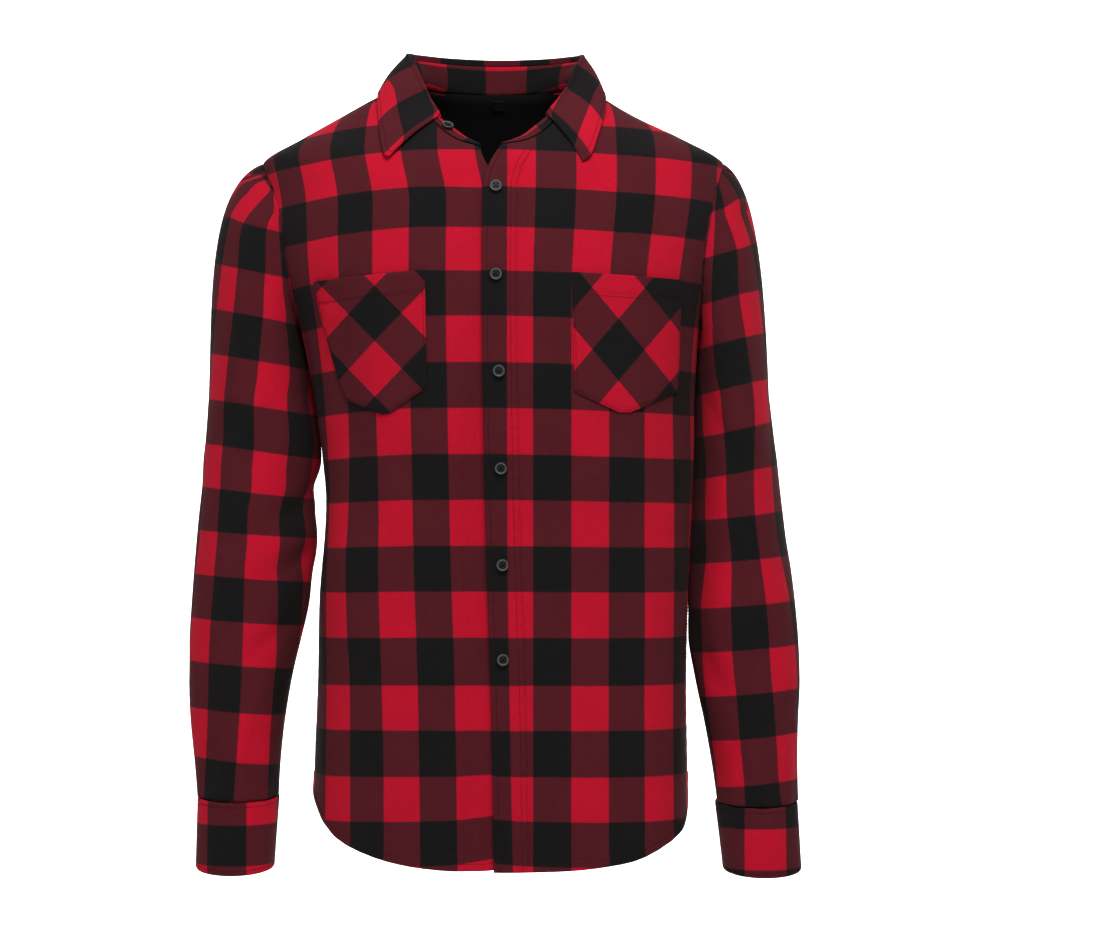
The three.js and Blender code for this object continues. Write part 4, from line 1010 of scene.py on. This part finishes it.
sleeve_grids = {}
for side, name, t, stripe, rows, reach in (
    (-1, "sleeve_right", SLEEVE_RIGHT, STRIPE_RIGHT, SLEEVE_ROWS_RIGHT, 165),
    (1, "sleeve_left", SLEEVE_LEFT, STRIPE_LEFT, SLEEVE_ROWS_LEFT, 108),
):
    turn = np.linspace(-165, 195, 133)[None, :]
    whole = turn % 360
    a = armhole_ring(side, whole[0])[None]
    s = np.linspace(0, 1, 56)[:-1, None]
    high = (1 + np.cos(np.radians(turn))) / 2
    b = sleeve_ring(t, side, whole, np.full_like(turn, t["z"][0]))
    go = np.stack([side * reach * high**1.75, -12 * np.sin(np.radians(turn)), -30 - 25 * high], -1)
    land = np.stack([side * 10 * high, 0 * high, -60 - 200 * high], -1)
    s = s[..., None]
    cap = a * (1 + 2 * s) * (1 - s) ** 2 + go * s * (1 - s) ** 2
    cap = cap + b * s * s * (3 - 2 * s) + land * s * s * (s - 1)
    z = np.linspace(t["z"][0], t["z"][-1], 140)[:, None]
    tube = sleeve_ring(t, side, whole + 0 * z, z + 0 * turn)
    p = np.concatenate([cap, tube])
    centre = np.concatenate([cap.mean(1, keepdims=True), tube.mean(1, keepdims=True)])
    n = normals(p, p - centre)
    # Ease at the cap, a groove at the armhole seam, fine creases and gathers at the cuff
    x, z = p[..., 0], p[..., 2]
    from_seam = np.concatenate([s[:, 0] * 150, np.full((140, 1), 200.0)])
    from_cuff = z - t["z"][-1]
    move = 0.5 * np.exp(-from_seam / 4) - 0.5 * bell(from_seam, 1.5)
    move = move + 0.35 * np.sin(np.radians(turn) * 26 + 0.6) * np.exp(-((from_seam - 5) / 14) ** 2)
    move = move + 0.9 * np.sin(np.radians(turn) * 9 + 1.3 * side) * np.exp(-abs(from_cuff) / 24)
    move = move - 0.5 * bell(whole - 195, 1.4)
    move = move + mix(2.2, 3.4, side > 0) * bell(whole - 180, 15) * step(-215, -262, z) * step(-560, -480, z)
    p = p + n * move[..., None]
    # Count the check round the arm from the dark stripe's outer side
    inner_line = np.concatenate([a[0, turn[0] >= 0][::-1], p[:, np.argmin(abs(turn[0] - 180))]])
    outer_line = p[:, np.argmin(abs(turn[0]))]
    order_in, order_out = np.argsort(inner_line[:, 2]), np.argsort(outer_line[:, 2])

    def spread(x, z):
        """Turn round the front of the sleeve at a sideways place, as on an ellipse between its
        two side lines.
        """
        inner = np.interp(z, inner_line[order_in, 2], inner_line[order_in, 0])
        outer = np.interp(z, outer_line[order_out, 2], outer_line[order_out, 0])
        half = np.maximum(abs(outer - inner) / 2, 1)
        return np.degrees(np.arccos(np.clip(side * (x - (outer + inner) / 2) / half, -1, 1))), half

    seen, half = spread(x, z)
    round_arm = mix(turn + 0 * z, seen, step(0, 40, turn) * step(180, 150, turn))
    on_tube = step(t["z"][0] + 25, t["z"][0] - 5, z)
    round_arm = mix(round_arm, turn + 0 * z, on_tube)
    deep = look(t, "z", "deep", z)
    from_turn, _ = spread(look(stripe, "z", "outer", z), z)
    to_turn, _ = spread(look(stripe, "z", "inner", z), z)
    start, end = ellipse_arc(from_turn, half, deep), ellipse_arc(to_turn, half, deep)
    across = (ellipse_arc(round_arm, half, deep) - start) / np.clip(end - start, 29, 40)
    lean = mix(8, 16, step(-440, -350, z))
    share = (1 - np.cos(np.radians(round_arm))) / 2
    from_share = (1 - np.cos(np.radians(from_turn))) / 2
    row = np.interp(z + lean * (share - from_share), rows["z"][::-1], rows["row"][::-1])
    sleeve_grids[side] = (p, n)
    # The seam allowance turns in under the edge of the body
    tuck = armhole_ring(side, whole[0], -CLOTH - 1.2, -3.5)[None]
    cells = np.stack([across, row], -1)
    out = p - centre
    p, cells, out = (
        np.concatenate(k) for k in ((tuck, p), (cells[:1] + [0, 0.1], cells), (out[:1], out))
    )
    piece = cloth(f"{name}_cloth", p, cells, out, CLOTH, wrap=True)
    piece.data.materials.append(FLANNEL)
    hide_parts(name)


# ---------------------------------------------------------------------------
# Cuffs. A doubled band round each wrist, stitched along every edge; one end laps over the
# other at the back and is closed by a button.
# ---------------------------------------------------------------------------
CUFF_LAP_TURN = 205.0
CUFF_LAP = 26.0
CUFF_RIGHT = table(
    "z x y wide deep tilt", (-678.5, -245, -22, 38, 38, 0.1), (-745, -248, -26, 36.5, 38, 0.14)
)
CUFF_LEFT = table(
    "z x y wide deep tilt", (-683.5, 245.5, -22, 38.5, 38, 0.1), (-747, 251, -26, 36.5, 38, 0.14)
)


def cuff_point(cuff, side, turn, v, out):
    """Band between its top ring and bottom ring: an ellipse moved outwards, its front dipping by
    the tilt.
    """
    z, x, y, wide, deep, tilt = (mix(k[1], k[0], v) for k in cuff.values())
    c, s = np.cos(np.radians(turn)), np.sin(np.radians(turn))
    wide, deep = wide + out, deep + out
    return np.stack([x + side * wide * c, y - deep * s, z - tilt * deep * s], -1)


cuff_grids = {}
for side, name, cuff, start_x, end_x, base_count, row_z, row_count in (
    (-1, "cuff_right", CUFF_RIGHT, -271.0, -233.6, 0, -703.0, 1),
    (1, "cuff_left", CUFF_LEFT, 271.1, 231.9, -1, -706.7, 2),
):
    total = 360 + CUFF_LAP
    turn = CUFF_LAP_TURN + total * np.linspace(0, 1, 150)[None, :]
    v = np.r_[0, 0.02, 0.05, 0.08, 0.11, np.linspace(0.15, 0.85, 16), 0.89, 0.92, 0.95, 0.98, 1][:, None]
    lapped = np.clip((turn - CUFF_LAP_TURN - 300) / 60, 0, 1)
    d = np.minimum(v, 1 - v) * 66
    end = np.minimum(turn - CUFF_LAP_TURN, CUFF_LAP_TURN + total - turn) * 0.65
    d = np.minimum(d, end)
    out = lapped * (BAND + 0.6) - 0.45 * bell(d - 4.6, 1.0) - 0.8 * np.exp(-d / 0.6)
    out = out + 0.25 * np.sin(turn * 0.33) * bell(d - 4.6, 3)
    out = out + 0.5 * np.sin(np.radians(turn * 3 + 40)) * v * (1 - v)
    p = cuff_point(cuff, side, turn, v, out)
    centre = p.mean(1, keepdims=True)
    half = mix(cuff["wide"][1], cuff["wide"][0], v) + 0 * turn
    middle = mix(cuff["x"][1], cuff["x"][0], v) + 0 * turn
    deep = np.full_like(half, 38.0)
    from_turn = np.degrees(np.arccos(np.clip(side * (start_x - middle) / half, -1, 1)))
    to_turn = np.degrees(np.arccos(np.clip(side * (end_x - middle) / half, -1, 1)))
    start, end = ellipse_arc(from_turn, half, deep), ellipse_arc(to_turn, half, deep)
    across = base_count + (ellipse_arc(turn - 360 + 0 * half, half, deep) - start) / (end - start)
    row = row_count + (p[..., 2] - row_z) / 38
    cuff_grids[side] = (p, normals(p, p - centre), turn)
    piece = cloth(f"{name}_band", p, np.stack([across, row], -1), p - centre, BAND)
    piece.data.materials.append(FLANNEL)
    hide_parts(name)


# ---------------------------------------------------------------------------
# Chest pockets. A patch pocket on each front, cut on the bias so that the check stands on
# its corners, with a wide hem at the top, a blunt point below and stitches round the edge.
# ---------------------------------------------------------------------------
POCKET_LEFT = table(
    "x1 z1 x2 z2",
    (70, -189.5, 171, -194.5), (70.5, -216, 171, -221), (71, -244, 171, -248),
    (71.5, -272, 170.5, -274), (72, -299, 169.5, -299),
)
POCKET_RIGHT = table(
    "x1 z1 x2 z2",
    (-64.5, -187.5, -168.5, -196), (-64, -214, -163, -228), (-63.5, -241, -156, -257),
    (-63, -268, -149, -283), (-62.6, -295, -142, -306),
)
POCKET_POINT = 19.0
POCKET_POINT_AT = 0.47

pocket_grids = {}
for name, t, (cx, cz), (wx, wz) in (
    ("pocket_left", POCKET_LEFT, (112.9, -260.3), (24.2, 28.5)),
    ("pocket_right", POCKET_RIGHT, (-111.0, -227.0), (25.0, 25.4)),
):
    edges = np.r_[0, 0.004, 0.01, 0.016, 0.022, 0.03, 0.045]
    u = np.r_[edges, np.linspace(0.07, 0.93, 44), 1 - edges[::-1]][None, :]
    v = np.r_[edges[::2], np.linspace(0.06, 0.94, 60), 1 - edges[::-1]][:, None]
    x1, z1, x2, z2 = (look(dict(k=np.arange(5.0), c=t[k]), "k", "c", v * 4) for k in ("x1", "z1", "x2", "z2"))
    reach = np.where(u < POCKET_POINT_AT, u / POCKET_POINT_AT, (1 - u) / (1 - POCKET_POINT_AT))
    x = mix(x1, x2, u)
    z = mix(z1, z2, u) - POCKET_POINT * np.minimum(1, reach * 1.12) * v**3
    side_d = np.minimum(u, 1 - u) * 100
    d = np.minimum(side_d, (1 - v) * 122)
    top_d = v * 122
    out = 2.25 - 1.0 * np.exp(-d / 1.2) - 0.45 * bell(d - 2.4, 0.8)
    out = out - 0.45 * bell(top_d - 20.5, 1.2) + 0.35 * (1 - step(19, 22, top_d)) - 0.3 * np.exp(-top_d / 0.8)
    out = out + 0.22 * np.sin((x + z) / 2.2) * bell(d - 2.5, 3)
    out = out + 0.7 * np.sin(np.pi * u) * np.sin(np.pi * np.clip(v * 1.3 - 0.15, 0, 1))
    p, n = skin(turn_at(x, z), z, out)
    a, b = (p[..., 0] - cx) / wx, (p[..., 2] - cz) / wz
    cells = np.stack([0.5 + 0.5 * (a + b), 0.5 + 0.5 * (b - a)], -1)
    pocket_grids[name] = (p, n)
    piece = cloth(f"{name}_patch", p, cells, n, CLOTH)
    piece.data.materials.append(FLANNEL)
    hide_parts(name)


# ---------------------------------------------------------------------------
# Stitches. Rows of dark thread, about eight to the inch, that hold the hems, the placket,
# the pockets, the yoke and side seams, the collar and the cuffs.
# ---------------------------------------------------------------------------
def thread(name, paint):
    """Spun thread: a fine twist in value and bump."""
    made, g = material(name)
    place = g.add("ShaderNodeTexCoord").outputs["Object"]
    wave = {"Vector": place, "Scale": 1400.0, "Distortion": 2.0}
    twist = g.add("ShaderNodeTexWave", wave, bands_direction="DIAGONAL").outputs[1]
    tone = g.scale(paint[:3], g.sum("MULTIPLY_ADD", twist, 0.6, 0.7))
    bump = g.add("ShaderNodeBump", {"Height": twist, "Strength": 0.4, "Distance": 0.0001})
    shader = g.add("ShaderNodeBsdfPrincipled", {
        "Base Color": tone, "Normal": bump.outputs[0], "Roughness": 0.9, "Specular IOR Level": 0.08,
    })
    g.add("ShaderNodeOutputMaterial", {"Surface": shader.outputs[0]})
    return made


DARK_THREAD = thread("dark_thread", colour(54, 17, 24))


def stitched(name, runs, pitch=3.1, long=2.5, thick=0.27, paint=None):
    """Rows of stitches: along each path one bead every pitch, six-sided, swelling to thick in its
    middle and sinking into the cloth at both ends.
    """
    centres, ahead, up = [], [], []
    for p, n in runs:
        p, n = p.reshape(-1, 3), n.reshape(-1, 3)
        run = np.concatenate([[0], np.cumsum(np.linalg.norm(np.diff(p, axis=0), axis=1))])
        at = np.arange(0.6 * pitch, run[-1] - 0.4 * pitch, pitch)

        def pick(a, at=at, run=run):
            return np.stack([np.interp(at, run, a[:, k]) for k in range(3)], -1)

        centres.append(pick(p))
        up.append(unit(pick(n)))
        ahead.append(unit(pick(np.gradient(p, axis=0) / np.maximum(np.gradient(run), 1e-6)[:, None])))
    c, n, a = np.concatenate(centres), np.concatenate(up), np.concatenate(ahead)
    b = unit(np.cross(n, a))
    t = np.array([-1, -0.62, 0, 0.62, 1.0])[None, :, None, None]
    angle = np.arange(6)[None, None, :, None] * np.pi / 3
    r = thick * np.sqrt(np.maximum(0.04, 1 - t**2))
    c, n, a, b = (k[:, None, None] for k in (c, n, a, b))
    p = c + a * t * long / 2 + b * np.cos(angle) * r + n * (np.sin(angle) * r + 0.18 - 0.36 * t**2)
    count = p.shape[0]
    ring = np.arange(6)
    ahead = (ring + 1) % 6
    quad = np.stack([ring, ahead, 6 + ahead, 6 + ring], -1)
    quads = np.concatenate([6 * k + quad for k in range(4)])
    caps = np.array([[5, 4, 3, 2, 1, 0], [24, 25, 26, 27, 28, 29]])
    move = 30 * np.arange(count)[:, None, None]
    faces = (quads[None] + move).reshape(-1, 4).tolist() + (caps[None] + move).reshape(-1, 6).tolist()
    mesh = bpy.data.meshes.new(name)
    mesh.from_pydata((p.reshape(-1, 3) * 0.001).tolist(), [], faces)
    mesh.polygons.foreach_set("use_smooth", np.ones(len(mesh.polygons), bool))
    piece = bpy.data.objects.new(name, mesh)
    bpy.context.scene.collection.objects.link(piece)
    mesh.materials.append(paint or DARK_THREAD)
    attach(piece, "root")
    return piece


def on_grid(grid, r, c):
    """Points and normals of a grid at fractional rows and columns, by blending the four around."""
    r, c = np.broadcast_arrays(np.asarray(r, float), np.asarray(c, float))
    rows, columns = grid[0].shape[:2]
    i, j = np.clip(r.astype(int), 0, rows - 2), np.clip(c.astype(int), 0, columns - 2)
    s, t = (r - i)[..., None], (c - j)[..., None]
    return [mix(mix(g[i, j], g[i, j + 1], t), mix(g[i + 1, j], g[i + 1, j + 1], t), s) for g in grid[:2]]


def inset_rows(grid, distance, first=True):
    """Fractional row, for each column, that lies at a distance from the grid's first or last row.
    """
    p = grid[0] if first else grid[0][::-1]
    run = np.cumsum(np.linalg.norm(np.diff(p, axis=0), axis=-1), axis=0)
    run = np.concatenate([np.zeros((1, run.shape[1])), run])
    i = np.clip((run < distance).sum(0), 1, len(run) - 1)
    low, high = np.take_along_axis(run, i[None] - 1, 0)[0], np.take_along_axis(run, i[None], 0)[0]
    row = i - 1 + (distance - low) / (high - low)
    return row if first else len(run) - 1 - row


def row_run(grid, distance, first=True, skip=0):
    """Run along the grid's rows at a distance from one edge."""
    columns = np.arange(skip, grid[0].shape[1] - skip)
    return on_grid(grid, inset_rows(grid, distance, first)[columns], columns)


def column_run(grid, distance, first=True, rows=slice(None)):
    """Run along the grid's columns at a distance from one side."""
    turned = (grid[0].swapaxes(0, 1), grid[1].swapaxes(0, 1))
    columns = inset_rows(turned, distance, first)
    r = np.arange(len(columns))[rows]
    return on_grid(grid, r, columns[rows])


placket_grid = (placket_p, placket_n)
back_grid = (back_p, back_n)
hem_runs = [row_run(front_grids[s], 6.6, skip=1) for s in (-1, 1)] + [row_run(back_grid, 6.6, skip=1)]
seam_runs = [column_run(front_grids[s], 6.3, False, slice(12, 161)) for s in (-1, 1)]
yoke_runs = [row_run((yoke_p, yoke_n), 4.0, skip=2)]
placket_runs = [column_run(placket_grid, 5.2), column_run(placket_grid, 26.8, True)]
stitched("hem_stitches", hem_runs)
stitched("side_seam_stitches", seam_runs)
stitched("yoke_stitches", yoke_runs)
stitched("placket_stitches", placket_runs)
for name, grid in pocket_grids.items():
    stitched(f"{name}_stitches", [
        column_run(grid, 2.4), column_run(grid, 2.4, False),
        row_run(grid, 2.4, False, skip=3), row_run(grid, 20.5, skip=3),
    ])
leaf_grid = (leaf_p, leaf_out)
stitched("collar_leaf_stitches", [
    column_run(leaf_grid, 6.3, False, slice(3, -3)),
    on_grid(leaf_grid, 2.6, np.linspace(14, 38, 40)), on_grid(leaf_grid, 196.4, np.linspace(14, 38, 40)),
])
stand_normals = normals(stand_p, stand_p - NECK_CENTRE * [1, 1, 0])
stand_turned = (stand_p, stand_normals)
stitched("collar_stand_stitches", [column_run(stand_turned, 4.0, True, slice(2, -2))])
for side, (p, n, turn) in cuff_grids.items():
    name = "right" if side < 0 else "left"
    stitched(f"cuff_{name}_stitches", [row_run((p, n), 4.6, first, skip=3) for first in (True, False)])


# ---------------------------------------------------------------------------
# Buttons. Black moulded buttons with a raised rim and four holes, sewn on with crossed
# thread: six down the placket, one on the collar stand and one on each cuff.
# ---------------------------------------------------------------------------
BUTTON_RADIUS = 5.7
BUTTON_THICK = 2.6
BUTTON_SEAT = 0.35
FRONT_BUTTONS = table("x z", (0.3, -111), (0.6, -192), (3.3, -280), (5.1, -369), (6.5, -458), (6.9, -545))


def moulded(name, paint, rim_highlight):
    """Dull moulded plastic: faint cloudy value, fine scratches in roughness and a slight pitted bump.
    The rim, between two shares of the radius read from the UV map, is painted paler: a painted highlight.
    """
    made, g = material(name)
    place = g.add("ShaderNodeTexCoord").outputs["Object"]
    cloud = g.noise(place, 300.0, Detail=4.0)[0]
    fine = g.noise(place, 2600.0, Detail=2.0)[0]
    share = g.add("ShaderNodeSeparateXYZ", {0: g.add("ShaderNodeUVMap", uv_map="disc").outputs[0]}).outputs[0]
    rise, drop = (
        g.add("ShaderNodeMapRange", {0: share, **ends}, interpolation_type="SMOOTHSTEP").outputs[0]
        for ends in ({1: 0.62, 2: 0.72}, {1: 0.86, 2: 0.97, 3: 1.0, 4: 0.0})
    )
    plain = g.blend(g.sum("MULTIPLY", rise, drop), paint, rim_highlight)
    tone = g.scale(plain, g.sum("MULTIPLY_ADD", cloud, 0.7, 0.65))
    rough = g.sum("MULTIPLY_ADD", fine, 0.25, 0.38)
    bump = g.add("ShaderNodeBump", {"Height": fine, "Strength": 0.15, "Distance": 0.0001})
    shader = g.add("ShaderNodeBsdfPrincipled", {
        "Base Color": tone, "Normal": bump.outputs[0], "Roughness": rough, "Specular IOR Level": 0.3,
    })
    g.add("ShaderNodeOutputMaterial", {"Surface": shader.outputs[0]})
    return made


# The second colour is the rim's painted highlight, not rubbed wear
BUTTON_BLACK = moulded("black_button", colour(24, 25, 25), colour(84, 87, 85))
BLACK_THREAD = thread("black_thread", colour(22, 22, 23))


def button(name, p, n):
    """Button on a point of the cloth: rings from the middle of the face to the middle of the
    underside. Face height is a dished well inside a rounded rim, and each hole is a deep bell;
    the underside is a flat cone. Two crossed threads fill the holes.
    """
    n = unit(n)
    side = unit(np.cross(UP, n))
    up = np.cross(n, side)
    angle = np.linspace(0, 2 * np.pi, 97)[None, :-1]
    r = np.r_[0.001, np.linspace(0.35, 3.9, 22), 4.1, 4.35, 4.7, 5.05, 5.35, 5.58, 5.7][:, None] + 0 * angle
    x, y = r * np.cos(angle), r * np.sin(angle)
    face = BUTTON_THICK - 0.75 * (1 - step(3.7, 4.5, r)) - 0.5 * step(4.9, 5.75, r) ** 2
    for a, b in ((1, 1), (-1, 1), (-1, -1), (1, -1)):
        face = face - 1.3 * (1 - step(0.5, 0.85, np.hypot(x - 1.55 * a, y - 1.55 * b)))
    low = np.array([[5.72, 1.2], [5.5, 0.5], [4.6, 0.12], [2.5, 0.0], [0.001, 0.0]])
    x = np.concatenate([x, low[:, :1] * np.cos(angle)])
    y = np.concatenate([y, low[:, :1] * np.sin(angle)])
    h = np.concatenate([face, low[:, 1:] + 0 * angle])
    points = p + x[..., None] * side + y[..., None] * up + h[..., None] * n
    rows, columns = h.shape
    index = np.arange(rows * columns).reshape(rows, columns)
    ahead = np.roll(index, -1, 1)
    quads = np.stack([index[:-1], index[1:], ahead[1:], ahead[:-1]], -1).reshape(-1, 4)
    mesh = bpy.data.meshes.new(name)
    lids = [index[0].tolist(), index[-1, ::-1].tolist()]
    mesh.from_pydata((points.reshape(-1, 3) * 0.001).tolist(), [], quads.tolist() + lids)
    loops = np.empty(len(mesh.loops), int)
    mesh.loops.foreach_get("vertex_index", loops)
    disc = np.stack([np.hypot(x, y).ravel() / BUTTON_RADIUS, (index % columns).ravel() / columns], -1)
    mesh.uv_layers.new(name="disc").data.foreach_set("uv", disc[loops].ravel())
    mesh.polygons.foreach_set("use_smooth", np.ones(len(mesh.polygons), bool))
    mesh.materials.append(BUTTON_BLACK)
    piece = bpy.data.objects.new(f"{name}_moulded", mesh)
    bpy.context.scene.collection.objects.link(piece)
    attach(piece, "root")
    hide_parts(name)
    lay = [p + n * (BUTTON_THICK - 0.85) + (side * a + up) * k * 1.9 for a in (1, -1) for k in (-1, 1)]
    runs = [(np.linspace(lay[2 * i], lay[2 * i + 1], 5), np.tile(n, (5, 1))) for i in (0, 1)]
    stitched(f"{name}_thread", runs, pitch=3.2, long=4.6, thick=0.5, paint=BLACK_THREAD)
    return piece


for i, (x, z) in enumerate(zip(FRONT_BUTTONS["x"], FRONT_BUTTONS["z"])):
    p, n = skin(turn_at(x, z), z, 3.3 + BUTTON_SEAT)
    button(f"button_{i + 1}", p, n)
low, high = neck_seat(0.1)[0], np.array([STAND_END_RIGHT[k][0] for k in "xyz"])
n = unit(np.cross(high - low, neck_seat(0.13)[0] - neck_seat(0.07)[0]))
n = -n if n[1] > 0 else n
button("button_collar", mix(low, high, 0.5) + 2 * n, n)
for side, cuff, name in ((-1, CUFF_RIGHT, "right"), (1, CUFF_LEFT, "left")):
    at = CUFF_LAP_TURN + CUFF_LAP - 14
    p, q = (cuff_point(cuff, side, at, 0.5, k) for k in (BAND + 1.35, BAND + 5))
    button(f"cuff_button_{name}", p, unit((q - p) * [1, 1, 0]))


# ---------------------------------------------------------------------------
# Stage. A plain pale sweep behind and below the shirt, soft light from above the front, from
# the left and onto the sweep, and a level camera at chest height.
# ---------------------------------------------------------------------------
k = np.linspace(0, 1, 60)[:, None]
bend = 1.2
y = np.concatenate([
    np.linspace(-6, 4.6, 12)[:, None], 4.6 + bend * np.sin(k * np.pi / 2), np.full((6, 1), 4.6 + bend),
])
z = np.concatenate([
    np.zeros((12, 1)), bend - bend * np.cos(k * np.pi / 2), np.linspace(bend, 6, 6)[:, None],
]) - 1.75
x = np.linspace(-7, 7, 15)[None, :]
sweep = np.stack([x + 0 * y, y + 0 * x, z + 0 * x], -1)
index = np.arange(sweep.shape[0] * 15).reshape(-1, 15)
mesh = bpy.data.meshes.new("floor")
quads = np.stack([index[:-1, :-1], index[:-1, 1:], index[1:, 1:], index[1:, :-1]], -1).reshape(-1, 4)
mesh.from_pydata(sweep.reshape(-1, 3).tolist(), [], quads.tolist())
mesh.polygons.foreach_set("use_smooth", np.ones(len(mesh.polygons), bool))
floor = bpy.data.objects.new("floor", mesh)
bpy.context.scene.collection.objects.link(floor)
paper, g = material("pale_paper")
tooth = g.noise(g.add("ShaderNodeTexCoord").outputs["Object"], 4.0)[0]
tone = g.blend(tooth, (0.86, 0.86, 0.86, 1), (0.9, 0.9, 0.9, 1))
shader = g.add("ShaderNodeBsdfPrincipled", {"Base Color": tone, "Roughness": 0.95, "Specular IOR Level": 0.1})
g.add("ShaderNodeOutputMaterial", {"Surface": shader.outputs[0]})
mesh.materials.append(paper)
# Plain colours, as a product lightbox shows them
bpy.context.scene.view_settings.view_transform = "Standard"

world = bpy.data.worlds.new("studio")
world.use_nodes = True
world.node_tree.nodes["Background"].inputs[0].default_value = (1, 1, 1, 1)
world.node_tree.nodes["Background"].inputs[1].default_value = 0.27
bpy.context.scene.world = world


def soft_light(name, place, aim, size, power):
    """Square area light turned so that its back axis points away from the aim."""
    light = bpy.data.lights.new(name, "AREA")
    light.size, light.energy = size, power
    lamp = bpy.data.objects.new(name, light)
    bpy.context.scene.collection.objects.link(lamp)
    back = unit(np.array(place, float) - np.array(aim, float))
    side = unit(np.cross(UP, back))
    axes = np.stack([side, np.cross(back, side), back, place], -1)
    lamp.matrix_world = Matrix(axes.tolist() + [[0, 0, 0, 1]])


soft_light("key", (0.3, -1.8, 1.9), (0, 0, 0.0), 1.4, 60)
soft_light("fill", (-1.7, -2.2, 0.5), (0, 0, -0.3), 1.6, 7)
soft_light("wall", (0.0, 3.3, 2.0), (0, 5.8, -0.4), 3.6, 460)

view = bpy.data.cameras.new("camera")
view.sensor_width, view.lens = 36, 110
view.clip_start, view.clip_end = 0.05, 30
camera = bpy.data.objects.new("camera", view)
camera.location = (0.050, -3.2, -0.369)
camera.rotation_euler = (np.pi / 2, 0, 0)
bpy.context.scene.collection.objects.link(camera)
bpy.context.scene.camera = camera
